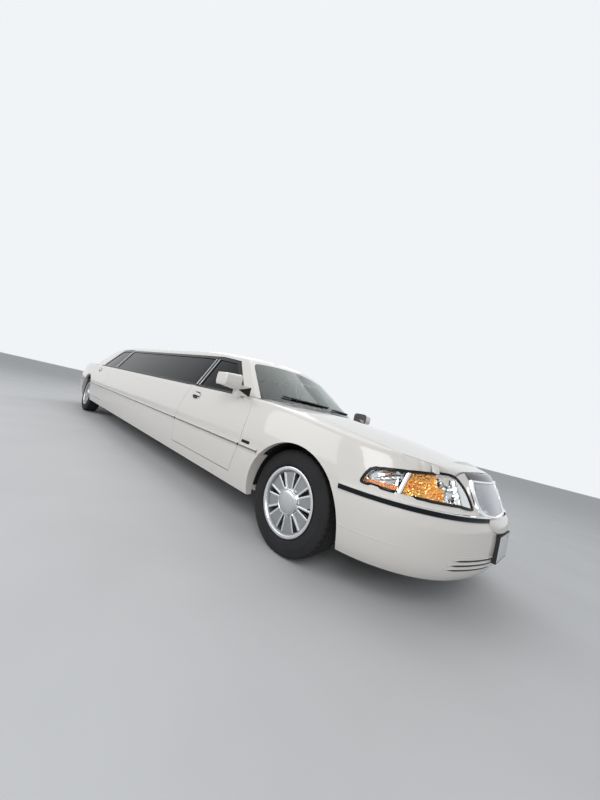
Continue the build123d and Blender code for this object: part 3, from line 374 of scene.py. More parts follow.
def turned(name, rings, centre, axis="Y", steps=64, close_start=True, close_end=True):
    """Turned piece: a circle extruded and resized from ring to ring along an axis.

    Each ring is (radius, distance along the axis)."""
    clear_selection()
    turn = {"X": (0, pi / 2, 0), "Y": (-pi / 2, 0, 0), "Z": (0, 0, 0)}[axis]
    along = {"X": Vector((1, 0, 0)), "Y": Vector((0, 1, 0)), "Z": Vector((0, 0, 1))}[axis]
    start = Vector(centre) + along * rings[0][1]
    bpy.ops.mesh.primitive_circle_add(
        vertices=steps, radius=rings[0][0], location=start, rotation=turn,
        fill_type="NGON" if close_start else "NOTHING")
    thing = named(name)
    start_edit(thing)
    for number, (before, ring) in enumerate(zip(rings, rings[1:])):
        if close_start and number == 0:
            bpy.ops.mesh.extrude_region_move()
        else:
            bpy.ops.mesh.extrude_edges_move()
        bpy.ops.transform.translate(value=along * (ring[1] - before[1]))
        here = Vector(centre) + along * ring[1]
        share = ring[0] / before[0]
        bpy.ops.transform.resize(value=(share, share, share), center_override=here)
    if close_end:
        bpy.ops.mesh.edge_face_add()
    bpy.ops.mesh.select_all(action="SELECT")
    bpy.ops.mesh.normals_make_consistent(inside=False)
    end_edit()
    return thing


def smooth(thing, angle=30):
    choose(thing)
    bpy.ops.object.shade_smooth_by_angle(angle=radians(angle))
    return thing


def modify(thing, kind, **settings):
    """Adds a modifier with its settings and applies it."""
    choose(thing)
    bpy.ops.object.modifier_add(type=kind)
    modifier = thing.modifiers[-1]
    for key, value in settings.items():
        setattr(modifier, key, value)
    bpy.ops.object.modifier_apply(modifier=modifier.name)
    return thing


def thicken(thing, thickness):
    """Gives a sheet its thickness, inward."""
    return modify(thing, "SOLIDIFY", thickness=thickness, offset=-1)


def weigh_normals(thing):
    """Lets the larger faces lead the shading, with sharp edges kept."""
    return modify(thing, "WEIGHTED_NORMAL", keep_sharp=True, mode="FACE_AREA", weight=50)


def coat_with(thing, look):
    thing.data.materials.clear()
    thing.data.materials.append(look)
    return thing


def recolour(thing, look, test):
    """Gives the faces that pass a test of centre and normal their own finish."""
    thing.data.materials.append(look)
    number = len(thing.data.materials) - 1
    for face in thing.data.polygons:
        if test(face.center, face.normal):
            face.material_index = number
    return thing


def joined(things, name):
    """Several objects as one."""
    clear_selection()
    for thing in things:
        thing.select_set(True)
    bpy.context.view_layer.objects.active = things[0]
    if len(things) > 1:
        bpy.ops.object.join()
    things[0].name = name
    things[0].data.name = name
    return things[0]


def across(thing, name):
    """The same piece on the other side of the car."""
    twin = twin_of(thing, name)
    start_edit(twin)
    bpy.ops.transform.resize(value=(1, -1, 1), center_override=(0, 0, 0))
    bpy.ops.mesh.flip_normals()
    end_edit()
    return twin


def placed(thing, name, offset):
    """A copy of a piece, moved."""
    twin = twin_of(thing, name)
    twin.data.transform(Matrix.Translation(offset))
    return twin


def discard(thing):
    bpy.data.objects.remove(thing, do_unlink=True)


def settle(thing, body, angle):
    """Shades a finished piece and puts it on its body."""
    smooth(thing, angle)
    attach(thing, body)
    return thing


def even_shading(thing, angle=40, reach=0.05, pitch=0.016):
    """Normals averaged over the skin nearby, so that coarse triangles shade evenly.

    Each face is sampled at about one spot per pitch. Faces that turn away by more than the
    angle are left out, so corners stay crisp."""
    most_rows, own_share, fall_off, normal_steps = 24, 0.02, 3, 5
    mesh = thing.data
    spots = []
    for face in mesh.polygons:
        corners = [mesh.vertices[v].co for v in face.vertices]
        rows = max(1, min(most_rows, int(sqrt(2 * face.area) / pitch)))
        share = face.area / (rows * (rows + 1) / 2)
        for i in range(rows):
            for j in range(rows - i):
                u, v = (i + 1 / 3) / rows, (j + 1 / 3) / rows
                spots.append((corners[0] * (1 - u - v) + corners[1] * u + corners[2] * v,
                              face.normal * share))
    tree = KDTree(len(spots))
    for number, (place, _) in enumerate(spots):
        tree.insert(place, number)
    tree.balance()
    limit = cos(radians(angle))
    near = {}
    known = {}
    normals = [None] * len(mesh.loops)
    for face in mesh.polygons:
        facing = face.normal.copy()
        key = tuple(round(c * normal_steps) for c in facing)
        for loop in face.loop_indices:
            vertex = mesh.loops[loop].vertex_index
            if (vertex, key) not in known:
                place = mesh.vertices[vertex].co
                if vertex not in near:
                    near[vertex] = [(spots[n][1], exp(-fall_off * (d / reach) ** 2))
                                    for _, n, d in tree.find_range(place, reach)]
                total = facing * face.area * own_share
                for push, weight in near[vertex]:
                    if push.dot(facing) > limit * push.length:
                        total = total + push * weight
                known[(vertex, key)] = total.normalized()
            normals[loop] = known[(vertex, key)]
    mesh.normals_split_custom_set(normals)
    return thing


def dress(node, look, slot, angle=42, even=False):
    """Smooth-shaded copy of a CAD node that stands for it."""
    clear_selection()
    thing = bpy.data.objects.new(node + "_skin", nodes[node].data.copy())
    bpy.context.scene.collection.objects.link(thing)
    start_edit(thing)
    bpy.ops.mesh.remove_doubles(threshold=0.00002)
    end_edit()
    coat_with(thing, look)
    smooth(thing, angle)
    if even:
        even_shading(thing)
    else:
        weigh_normals(thing)
    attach(thing, body_of_node[node])
    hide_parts(node)
    return thing


# The skin of the car, and pieces that follow it


class Skin:
    """The outside of the car, asked for the place where a ray meets it."""

    OUTSIDE_X, OUTSIDE_Y, OUTSIDE_Z = 5.2, 1.6, 2.0
    # A ray that slips between two nodes is tried again beside its first line
    NUDGE = 0.0009
    SHIFTS = ((0, 0, 0), (0, 0, 1), (1, 0, 0), (-1, 0, -1), (0, 3, 0), (-4, 0, 0), (0, 0, -6),
              (0, 0, 8), (8, 0, 0), (-12, 0, 0), (0, 0, 14))

    def __init__(self, names):
        self.trees = []
        for name in names:
            source = nodes[name].data
            verts = [v.co.copy() for v in source.vertices]
            faces = [tuple(f.vertices) for f in source.polygons]
            self.trees.append(BVHTree.FromPolygons(verts, faces))

    def meet(self, origin, towards):
        best = None
        for shift in self.SHIFTS:
            start = Vector(origin) + Vector(shift) * self.NUDGE
            for tree in self.trees:
                place, normal, _, distance = tree.ray_cast(start, Vector(towards))
                if place and (best is None or distance < best[2]):
                    best = (place, normal, distance)
            if best:
                return best[0], best[1]
        raise RuntimeError(f"no skin is met from {tuple(origin)}")

    def side(self, x, z, side=-1):
        return self.meet((x, side * self.OUTSIDE_Y, z), (0, -side, 0))

    def front(self, y, z):
        return self.meet((self.OUTSIDE_X, y, z), (-1, 0, 0))

    def rear(self, y, z):
        return self.meet((-self.OUTSIDE_X, y, z), (1, 0, 0))

    def top(self, x, y):
        return self.meet((x, y, self.OUTSIDE_Z), (0, 0, -1))


panel_names = [n for n in nodes if n.startswith((
    "body_side", "fender", "front_door_left", "front_door_right", "rear_door_left",
    "rear_door_right", "hood", "nose_panel", "front_bumper", "rear_bumper", "rear_quarters",
    "trunk_lid", "roof", "headlamps", "tail_lamps"))]
skin = Skin(panel_names)


def side_find(sign):
    """Finder of places on one side, by x and z."""
    return lambda x, z: skin.side(x, z, sign)


def front_find(sign):
    """Finder of places on the front, by distance from the middle and z."""
    return lambda y, z: skin.front(sign * y, z)


def rear_find(sign):
    """Finder of places on the rear, by distance from the middle and z."""
    return lambda y, z: skin.rear(sign * y, z)


def strip(name, places, section, cyclic=False):
    """Trim strip: a line of places swept with a closed section of (out, up) corners.

    Each place is (point, outward normal)."""
    count = len(places)
    verts = []
    for number, (point, normal) in enumerate(places):
        before = places[number - 1][0] if number or cyclic else point
        after = places[(number + 1) % count][0] if number < count - 1 or cyclic else point
        along = (Vector(after) - Vector(before)).normalized()
        out = Vector(normal).normalized()
        up = out.cross(along).normalized()
        out = along.cross(up).normalized()
        verts += [Vector(point) + out * a + up * b for a, b in section]
    corners = len(section)
    faces = []
    last = count if cyclic else count - 1
    for number in range(last):
        near = number * corners
        far = ((number + 1) % count) * corners
        for corner in range(corners):
            other = (corner + 1) % corners
            faces.append((near + corner, near + other, far + other, far + corner))
    if not cyclic:
        faces.append(tuple(range(corners - 1, -1, -1)))
        faces.append(tuple((count - 1) * corners + c for c in range(corners)))
    return faced_outward(mesh_object(name, verts, faces))


def eased(places, rounds=3, cyclic=False):
    """The same line with its points and normals averaged with their neighbours."""
    for _ in range(rounds):
        count = len(places)
        calmer = []
        for k, (point, normal) in enumerate(places):
            if not cyclic and k in (0, count - 1):
                calmer.append((point, normal))
                continue
            before, after = places[k - 1], places[(k + 1) % count]
            calmer.append(((before[0] + point * 2 + after[0]) / 4,
                           (before[1] + normal * 2 + after[1]).normalized()))
        places = calmer
    return places


def raised(places, out=0.0, up=0.0):
    """The same line moved outward along its normals, and upward."""
    return [(point + normal * out + Vector((0, 0, up)), normal) for point, normal in places]


def bar_section(width, height, sink=0.002, crown=0.25):
    """Closed section of a trim strip: sunk foot, rounded top."""
    half = width / 2
    inset = min(half * 0.5, height * 0.6)
    return [(-sink, -half), (height * (1 - crown), -half), (height, -half + inset),
            (height, half - inset), (height * (1 - crown), half), (-sink, half)]


def side_line(x_from, x_to, z_from, z_to, side, steps):
    """Places on the body side along a straight line of X and Z."""
    return [skin.side(x_from + (x_to - x_from) * k / steps, z_from + (z_to - z_from) * k / steps,
                      side) for k in range(steps + 1)]


def corner_line(beside, across_end, x_span, y_end, side_steps, end_steps):
    """Places along the side and on round a corner of the car, as far as y_end.

    beside(x, share) and across_end(y, share) give a place, where share runs from 0 to 1."""
    start, end = x_span
    line = [beside(start + (end - start) * k / side_steps, k / side_steps)
            for k in range(side_steps + 1)]
    y_start = abs(line[-1][0].y)
    for k in range(1, end_steps + 1):
        y = y_start + (y_end - y_start) * k / end_steps
        line.append(across_end(y, k / end_steps))
    return line


def sheet_of(name, columns, rows, find, lift, s_range=(0, 1), t_range=(0, 1)):
    """Patch that follows the skin: find(s, t) gives a place, lift(s, t) its height above it."""
    verts = []
    for i in range(columns + 1):
        s = s_range[0] + (s_range[1] - s_range[0]) * i / columns
        for j in range(rows + 1):
            t = t_range[0] + (t_range[1] - t_range[0]) * j / rows
            point, normal = find(s, t)
            verts.append(Vector(point) + Vector(normal) * lift(s, t))
    faces = grid_faces(columns, rows)
    thing = mesh_object(name, verts, faces)
    middle = thing.data.polygons[len(faces) // 2]
    _, normal = find(sum(s_range) / 2, sum(t_range) / 2)
    if middle.normal.dot(Vector(normal)) < 0:
        thing.data.flip_normals()
    return thing


def shield(name, outline, profile, find, foot=-0.002):
    """Badge-like piece on the skin: an outline drawn in, ring by ring, and lifted.

    Each ring of the profile is (share of the outline, lift), from the rim to the middle."""
    centre = [sum(p[k] for p in outline) / len(outline) for k in (0, 1)]
    rings = [(1.0, foot)] + list(profile)
    verts = []
    for share, height in rings:
        for u, v in outline:
            point, normal = find(centre[0] + (u - centre[0]) * share,
                                 centre[1] + (v - centre[1]) * share)
            verts.append(Vector(point) + Vector(normal) * height)
    count = len(outline)
    faces = []
    for ring in range(len(rings) - 1):
        for k in range(count):
            other = (k + 1) % count
            faces.append((ring * count + k, ring * count + other,
                          (ring + 1) * count + other, (ring + 1) * count + k))
    faces.append(tuple((len(rings) - 1) * count + k for k in range(count)))
    faces.append(tuple(range(count - 1, -1, -1)))
    return faced_outward(mesh_object(name, verts, faces))


def oval(centre, width, height, count=28, power=2.0):
    """Outline of an oval, squarer as its power grows."""
    points = []
    for k in range(count):
        angle = 2 * pi * k / count
        c, s = cos(angle), sin(angle)
        u = width / 2 * abs(c) ** (2 / power) * (1 if c >= 0 else -1)
        v = height / 2 * abs(s) ** (2 / power) * (1 if s >= 0 else -1)
        points.append((centre[0] + u, centre[1] + v))
    return points


def fit_strip(name, places, section, look, body, angle=40, cyclic=False):
    """Trim strip with its finish, on its body."""
    return settle(coat_with(strip(name, places, section, cyclic), look), body, angle)


def fit_shield(name, outline, profile, find, look, body, angle=30, foot=-0.002):
    """Badge-like piece with its finish, on its body."""
    return settle(coat_with(shield(name, outline, profile, find, foot), look), body, angle)


def height_on(line, x):
    """Height of a line of (x, height) points at x, or its last height beyond its end."""
    for (x0, z0), (x1, z1) in zip(line, line[1:]):
        if x <= x1:
            return z0 + (z1 - z0) * (x - x0) / (x1 - x0)
    return line[-1][1]


def both_halves(half):
    """Closed outline from its one half, which ends on the middle line."""
    return half + [(-y, z) for y, z in reversed(half[:-1])]


def lamp_place(sign):
    """Where the headlamp's face is: s runs from its rear end to its inner end, t upward."""
    corner_share = 0.55

    def level(x, t):
        return height_on(LAMP_LOW, x) * (1 - t) + height_on(LAMP_HIGH, x) * t

    def find(s, t):
        t = min(max(t, 0.0), 1.0)
        rear = LAMP_LOW[0][0] + (LAMP_HIGH[0][0] - LAMP_LOW[0][0]) * t + 0.0008
        if s <= corner_share:
            x = rear + (LAMP_CORNER - rear) * s / corner_share
            return skin.side(x, level(x, t), sign)
        z = level(LAMP_CORNER, t)
        corner, _ = skin.side(LAMP_CORNER, z, sign)
        inward = (s - corner_share) / 0.45
        y = abs(corner.y) + (LAMP_INNER + 0.001 - abs(corner.y)) * inward
        for _ in range(3):
            place, _ = skin.front(sign * y, z)
            z = level(place.x, t)
        return skin.front(sign * y, z)
    return find


def inner_lamp_place(sign):
    """The headlamp's inner tip, over the nose panel: s runs inward, t upward."""
    def find(s, t):
        y = LAMP_INNER + (LAMP_TIP - LAMP_INNER) * s
        low, high = height_on(INNER_LOW, y), height_on(INNER_HIGH, y)
        return skin.front(sign * y, low + (high - low) * t)
    return find


def nearest_on_hood_edge(spot):
    """The point of the hood's edge, in plan, that is nearest to a spot."""
    best = None
    for (x0, y0), (x1, y1) in zip(HOOD_EDGE, HOOD_EDGE[1:]):
        start, run = Vector((x0, y0)), Vector((x1 - x0, y1 - y0))
        share = min(max((spot - start).dot(run) / run.length_squared, 0), 1)
        foot = start + run * share
        if best is None or (foot - spot).length < (best - spot).length:
            best = foot
    return best


def hood_corner(name, sign):
    """Panel between the hood's edge, the fender's inner edge and the top of the headlamp."""
    fender_start, fender_y = fx(0.515), 0.7645
    under_hood, gap, steps = 0.004, 0.0105, 6
    lamp = lamp_place(sign)
    outer = []
    for k in range(40):
        x = fender_start + 0.01 * k
        point, normal = skin.top(x, sign * fender_y)
        if point.z < height_on(LAMP_HIGH, x) + 0.001:
            break
        outer.append((point, normal))
    last = outer[-1][0]
    for k in range(61):
        point, normal = lamp(k / 60, 1.0)
        if point.x > last.x + 0.004:
            outer.append((point + Vector((0, 0, 0.001)), normal))
    verts = []
    for point, normal in outer:
        spot = Vector((point.x, abs(point.y)))
        best = nearest_on_hood_edge(spot)
        away = (spot - best).normalized()
        inner, inner_normal = skin.top(best.x - away.x * under_hood,
                                       sign * (best.y - away.y * under_hood))
        chord = point - inner
        bend = inner_normal.angle(normal)
        swell = (inner_normal + normal).normalized() * chord.length * bend / 8
        start = min(0.9, gap / chord.length)
        for k in range(steps + 1):
            v = start + (1 - start) * k / steps
            verts.append(inner + chord * v + swell * 4 * v * (1 - v))
    faces = grid_faces(len(outer) - 1, steps)
    thing = mesh_object(name, verts, faces)
    if thing.data.polygons[len(faces) // 2].normal.z < 0:
        thing.data.flip_normals()
    return thicken(thing, 0.0025)


# Settings that a user would change


class LimousineLooks(bpy.types.PropertyGroup):
    paint: bpy.props.FloatVectorProperty(
        name="Paint", description="Colour of the pearl body paint", subtype="COLOR", size=3,
        min=0, max=1, default=(0.70, 0.672, 0.635))
    floor: bpy.props.FloatVectorProperty(
        name="Floor", description="Colour of the studio floor", subtype="COLOR", size=3,
        min=0, max=1, default=(0.62, 0.63, 0.64))


class LimousineSizes(bpy.types.PropertyGroup):
    moulding_height: bpy.props.FloatProperty(
        name="Moulding height", description="Height of the side moulding", unit="LENGTH",
        default=0.030)
    moulding_z: bpy.props.FloatProperty(
        name="Moulding level", description="Height of the side moulding above the ground",
        unit="LENGTH", default=0.600)
    tyre_radius: bpy.props.FloatProperty(
        name="Tyre radius", description="Outer radius of the tyres", unit="LENGTH",
        default=0.351)


# Operators, one for each group of pieces, with the functions of their sub-parts


def outward(place, normal):
    """How far a normal points away from the car's middle plane."""
    return normal.y * (1 if place.y > 0 else -1)


def dress_roof(paint):
    """Roof with its lining, and its pillars blackened between the windows."""
    front_cut, rear_cut, margin = -1.66, 1.30, 0.01
    roof = dress("roof_and_pillars", paint, "paint")
    start_edit(roof)
    for point, normal in (((0, 0, FRAME_TOP_Z), (0, 0, 1)), ((fx(front_cut), 0, 0), (1, 0, 0)),
                          ((rx(rear_cut), 0, 0), (1, 0, 0))):
        bpy.ops.mesh.select_all(action="SELECT")
        bpy.ops.mesh.bisect(plane_co=point, plane_no=normal)
    end_edit()
    smooth(roof, 42)
    even_shading(roof)
    recolour(roof, headliner(), lambda c, n: n.z < -0.35 or outward(c, n) < -0.3)
    recolour(roof, gloss_black(), lambda c, n: (
        rx(rear_cut - margin) < c.x < fx(front_cut + margin) and BELT_Z < c.z < FRAME_TOP_Z
        and outward(c, n) > -0.2))


def dress_nose(paint):
    """Nose panel and bumper, black behind the grille and round the plate's bracket."""
    opening_half, opening_rear = 0.236, fx(0.87)
    bracket_half, bracket_low, bracket_high, bracket_rear = 0.162, 0.338, 0.5085, fx(1.03)
    nose = dress("nose_panel", paint, "paint", even=True)
    recolour(nose, black_plastic(), lambda c, n: n.x < -0.3 or (
        abs(c.y) < opening_half and c.x > opening_rear and max(abs(n.y), abs(n.z)) > 0.95))
    bumper = dress("front_bumper", paint, "paint", even=True)
    recolour(bumper, black_plastic(), lambda c, n: (
        abs(c.y) < bracket_half and bracket_low < c.z < bracket_high and c.x > bracket_rear
        and max(abs(n.x), abs(n.y), abs(n.z)) > 0.995))


def dress_door(node, paint):
    """Door with its inner face trimmed and its window frame blackened."""
    frame_low, frame_outer = BELT_Z + 0.001, 0.93
    door = dress(node, paint, "paint", even=True)
    recolour(door, trim_grey(), lambda c, n: outward(c, n) < -0.4)
    recolour(door, gloss_black(), lambda c, n: (
        c.z > frame_low and abs(c.y) < frame_outer and outward(c, n) > -0.4))


class LIMO_OT_panels(bpy.types.Operator):
    """Paint the body panels, blacken the window frames and trim their inner faces"""

    bl_idname = "limousine.panels"
    bl_label = "Body panels"

    def execute(self, context):
        paint = pearl_paint()
        for node in ("hood", "rear_bumper", "rear_quarters", "trunk_lid"):
            dress(node, paint, "paint", even=True)
        dress_nose(paint)
        for side, _ in SIDES:
            dress(f"fender_{side}", paint, "paint", even=True)
            wall = dress(f"body_side_{side}", paint, "paint", even=True)
            recolour(wall, trim_grey(), lambda c, n: outward(c, n) < -0.5)
            for end in ("front", "rear"):
                dress_door(f"{end}_door_{side}", paint)
        dress_roof(paint)
        for side, sign in SIDES:
            corner = hood_corner(f"fender_corner_{side}", sign)
            settle(coat_with(corner, paint), "body", 60)
        return {"FINISHED"}


def faces_outside(face):
    """Whether a face of the windshield is on its outer side."""
    return face.normal.x > 0.15 and face.normal.z > 0.1


def dress_windshield(band=0.034):
    """Windshield with a black band of a given width round its outer side."""
    screen = dress("windshield", windshield_glass(), "clear", angle=50)
    choose(screen)
    for face in screen.data.polygons:
        face.select = faces_outside(face)
    bpy.ops.object.mode_set(mode="EDIT")
    bpy.ops.mesh.inset(thickness=band, depth=0, use_boundary=True)
    bpy.ops.mesh.select_all(action="INVERT")
    end_edit()
    screen.data.materials.append(gloss_black())
    for face in screen.data.polygons:
        if face.select and faces_outside(face):
            face.material_index = 1
    weigh_normals(screen)


class LIMO_OT_glass(bpy.types.Operator):
    """Give every pane its glass, and the windshield its black band"""

    bl_idname = "limousine.glass"
    bl_label = "Glass"

    def execute(self, context):
        dress_windshield()
        dress("fixed_glass", tinted_glass(), "tint", angle=50)
        for side, _ in SIDES:
            for end in ("front", "rear"):
                dress(f"{end}_door_glass_{side}", tinted_glass(), "tint", angle=50)
        return {"FINISHED"}


class LIMO_OT_underbody(bpy.types.Operator):
    """Give the frame, axles, liners, drive line and cabin fittings their finishes"""

    bl_idname = "limousine.underbody"
    bl_label = "Underbody"

    def execute(self, context):
        plain = {
            "chassis_frame": (black_plastic(), "frame_paint"),
            "wheel_house_liners": (black_plastic(), "black_trim"),
            "floor_and_bulkhead": (carpet(), "frame_paint"),
            "engine_block": (cast_iron(), "iron"),
            "front_suspension": (cast_iron(), "iron"),
            "rear_axle": (cast_iron(), "iron"),
            "knuckle_left": (cast_iron(), "iron"),
            "knuckle_right": (cast_iron(), "iron"),
            "exhaust": (brake_steel(), "steel"),
            "dashboard": (trim_grey(), "trim"),
            "partition": (leather(), "trim"),
            "steering_wheel": (leather(), "trim"),
        }
        for node, (look, slot) in plain.items():
            piece = dress(node, look, slot)
            if node == "floor_and_bulkhead":
                recolour(piece, black_plastic(), lambda c, n: c.z > 0.93 and c.x > fx(-0.95))
        return {"FINISHED"}


def side_steps(start, end):
    """Steps along the side, about 120 mm each and never fewer than two."""
    return max(2, int(abs(end - start) / 0.12))


def side_moulding(name, body, start, end, sizes, sign):
    """Body-coloured moulding with a black band of painted shadow along its middle, and a bright
    line on it.
    """
    high, level, sink = sizes.moulding_height, sizes.moulding_z, 0.003
    line = side_line(start, end, level, level, sign, side_steps(start, end))
    pieces = [
        coat_with(strip(name, line, bar_section(high, 0.009, sink)), pearl_paint()),
        # The black band is the moulding's shadow line, painted on.
        coat_with(strip("painted_shadow_band", line, bar_section(high * 0.66, 0.0096, sink)), gloss_black()),
        coat_with(strip("line", line, bar_section(high * 0.15, 0.0108, sink)), chrome()),
    ]
    settle(joined(pieces, name), body, 35)


class LIMO_OT_mouldings(bpy.types.Operator):
    """Fit the side mouldings, belt strips, window dividers and badges"""

    bl_idname = "limousine.mouldings"
    bl_label = "Side mouldings"

    def execute(self, context):
        sizes = context.scene.limousine_sizes
        belt_z, divider_foot, divider_head = 0.982, 0.996, 1.334
        for side, sign in SIDES:
            front_door, rear_door = f"{side}_front_door", f"{side}_rear_door"
            for name, body, start, end in (
                ("fender", "body", fx(-0.322), fx(-0.541)),
                ("front_door", front_door, fx(-0.560), fx(-1.715)),
                ("stretch", "body", fx(-1.738), rx(1.275)),
                ("rear_door", rear_door, rx(1.254), rx(0.494)),
                ("quarter", "body", rx(0.474), rx(0.352)),
            ):
                side_moulding(f"{name}_moulding_{side}", body, start, end, sizes, sign)
            for name, body, start, end in (
                ("front_door", front_door, fx(-0.905), fx(-1.645)),
                ("stretch", "body", fx(-1.662), rx(1.352)),
                ("rear_door", rear_door, rx(1.332), rx(0.452)),
            ):
                line = side_line(start, end, belt_z, belt_z, sign, side_steps(start, end))
                fit_strip(f"{name}_belt_strip_{side}", line, bar_section(0.020, 0.006, 0.003),
                          black_plastic(), body, 35)
            for name, body, foot, head in (
                ("front_divider_door", front_door, fx(-1.632), fx(-1.714)),
                ("front_divider_fixed", "body", fx(-1.690), fx(-1.771)),
                ("rear_divider_fixed", "body", rx(1.372), rx(1.290)),
                ("rear_divider_door", rear_door, rx(1.317), rx(1.239)),
            ):
                line = side_line(foot, head, divider_foot, divider_head, sign, 6)
                fit_strip(f"{name}_{side}", line, bar_section(0.011, 0.005, 0.003), chrome(), body,
                          35)
            fit_shield(f"fender_badge_{side}", oval((fx(-0.476), 0.638), 0.100, 0.022, 24, 8),
                       [(1.0, 0.0022), (0.96, 0.0032)], side_find(sign), gloss_black(), "body")
        return {"FINISHED"}


def door_handle(name, body, x, find):
    """Door handle: an oval bezel and hollow, an arched grip with a bright edge, and a lock."""
    dish_z, grip_z, lock_z, half_grip = 0.884, 0.892, 0.862, 0.070
    dish = oval((x, dish_z), 0.168, 0.082, 36, 2.6)
    bezel = shield("bezel", dish, [(1.0, 0.0015), (0.965, 0.0042), (0.90, 0.0042),
                                   (0.87, 0.0012)], find)
    coat_with(bezel, pearl_paint())
    hollow = shield("hollow", dish, [(0.872, 0.0010), (0.866, 0.0022), (0.5, 0.0018)], find,
                    0.0004)
    coat_with(hollow, gloss_black())
    line = [find(x + half_grip - 2 * half_grip * k / 8, grip_z) for k in range(9)]
    arch = [(p + n * (0.004 + 0.020 * (1 - ((k - 4) / 4) ** 4)), n)
            for k, (p, n) in enumerate(line)]
    grip = strip("grip", arch, bar_section(0.026, 0.007, 0.005))
    modify(grip, "BEVEL", width=0.0022, segments=3, limit_method="ANGLE",
           angle_limit=radians(40))
    coat_with(grip, pearl_paint())
    trim = strip("trim", raised(arch, up=-0.011), bar_section(0.006, 0.0085, 0.004))
    coat_with(trim, chrome())
    lock = shield("lock", oval((x + 0.052, lock_z), 0.017, 0.017, 18),
                  [(1.0, 0.004), (0.85, 0.0052), (0.3, 0.0052)], find)
    coat_with(lock, chrome())
    settle(joined([bezel, hollow, grip, trim, lock], name), body, 40)


def mirror_glass(side, sign):
    """Glass on the rear face of a door mirror."""
    middle, size = (fx(-0.8975), sign * 1.066, 1.078), (0.004, 0.108, 0.100)
    clear_selection()
    bpy.ops.mesh.primitive_cube_add(size=1, location=middle)
    bpy.context.object.scale = size
    glass = named(f"mirror_glass_{side}")
    modify(glass, "BEVEL", width=0.0016, segments=2, limit_method="NONE")
    settle(coat_with(glass, mirror_silver()), f"{side}_front_door", 30)


class LIMO_OT_handles(bpy.types.Operator):
    """Fit the door handles in their oval dishes, and the mirror glasses"""

    bl_idname = "limousine.handles"
    bl_label = "Handles and mirrors"

    def execute(self, context):
        for side, sign in SIDES:
            for end, x in (("front", fx(-1.475)), ("rear", rx(0.640))):
                door_handle(f"{end}_door_handle_{side}", f"{side}_{end}_door", x, side_find(sign))
            mirror_glass(side, sign)
        return {"FINISHED"}


# The grille stands on the nose panel, bowed across the hole in which the solid's grille sits
GRILLE_BOW = 1.434
GRILLE_HOLE = 0.247
GRILLE_TOP_Z = 0.780
HEADER_LOW_Z = 0.786
HEADER_TOP_Z = 0.80
HEADER_HALF = 0.349


def grille_face(nose):
    """Finder of places on the nose's face, by y and z, without the hole."""
    def find(y, z):
        edge = max(abs(y), GRILLE_HOLE)
        point, normal = nose.front(edge, z)
        swell = sqrt(GRILLE_BOW ** 2 - y * y) - sqrt(GRILLE_BOW ** 2 - edge * edge)
        side = y / GRILLE_BOW if abs(y) < GRILLE_HOLE else normal.y * (1 if y > 0 else -1)
        return Vector((point.x + swell, y, z)), Vector((normal.x, side, normal.z)).normalized()
    return find


def waterfall_grille(face):
    """Grille: a backing, upright bright bars that follow the bow, and a bright surround."""
    outline = both_halves([*reversed(GRILLE_SIDE), *reversed(GRILLE_FOOT)])
    fit_shield("grille_backing", outline, [(1 - 0.1 * k, 0.0018) for k in range(9)], face,
               black_plastic(), "body", foot=0.0005)
    bars = []
    bar_pitch, bars_each_side = 0.0177, 18
    for number in range(-bars_each_side, bars_each_side + 1):
        y = number * bar_pitch
        foot = height_on(GRILLE_FOOT, abs(y)) + 0.004
        run = [face(y, foot + (GRILLE_TOP_Z - foot) * k / 7) for k in range(8)]
        bars.append(strip("bar", run, bar_section(0.0058, 0.015, 0.001, 0.35)))
    rim = []
    closed = outline + [outline[0]]
    for (y0, z0), (y1, z1) in zip(closed, closed[1:]):
        count = max(1, int(sqrt((y1 - y0) ** 2 + (z1 - z0) ** 2) / 0.022))
        rim += [face(y0 + (y1 - y0) * k / count, z0 + (z1 - z0) * k / count)
                for k in range(count)]
    surround = strip("surround", rim, bar_section(0.019, 0.023, 0.002, 0.35), cyclic=True)
    for bar in bars:
        coat_with(bar, grille_chrome())
    grille = joined([coat_with(surround, chrome()), *bars], "waterfall_grille")
    settle(grille, "body", 40)
    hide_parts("grille")


def header_top(panel, y):
    """Height at which the nose panel's sloping top begins, at a distance from the middle."""
    z, step = 0.845, 0.002
    while z > HEADER_TOP_Z:
        try:
            point, normal = panel.front(y, z)
        except RuntimeError:
            z -= step
            continue
        if normal.x > 0.15 and point.x > fx(0.8):
            return z - 0.003
        z -= step
    return HEADER_TOP_Z


def grille_header(face):
    """Chrome header sloping between the grille and the hood, with its dark reflection painted into
    its colour.
    """
    panel = Skin(["nose_panel"])
    top_inner = header_top(panel, GRILLE_HOLE) - 0.001
    top_outer = header_top(panel, HEADER_HALF) - 0.001

    def header_place(s, t):
        y = (-1 + 2 * s) * (0.322 + 0.026 * t)
        share = max(0.0, (abs(y) - GRILLE_HOLE) / (HEADER_HALF - GRILLE_HOLE))
        top = top_inner + (top_outer - top_inner) * share
        return face(y, HEADER_LOW_Z + (top - HEADER_LOW_Z) * t)

    header = sheet_of("grille_header", 40, 6, header_place, lambda s, t: 0.004 + 0.006 * (1 - t))
    thicken(header, 0.004)
    # The header is chrome, darkened to paint in the dark reflection it shows.
    settle(coat_with(header, painted_dark_reflection_chrome()), "body", 40)


def proud(find, level):
    """Place at a level on whichever of bumper and nose stands further out."""
    hits = [find(level + step) for step in (-0.012, 0.012)]
    point, normal = max(hits, key=lambda hit: (hit[0] - Vector((2.4, 0, 0))).xy.length)
    return Vector((point.x, point.y, level)), Vector((normal.x, normal.y, 0)).normalized()


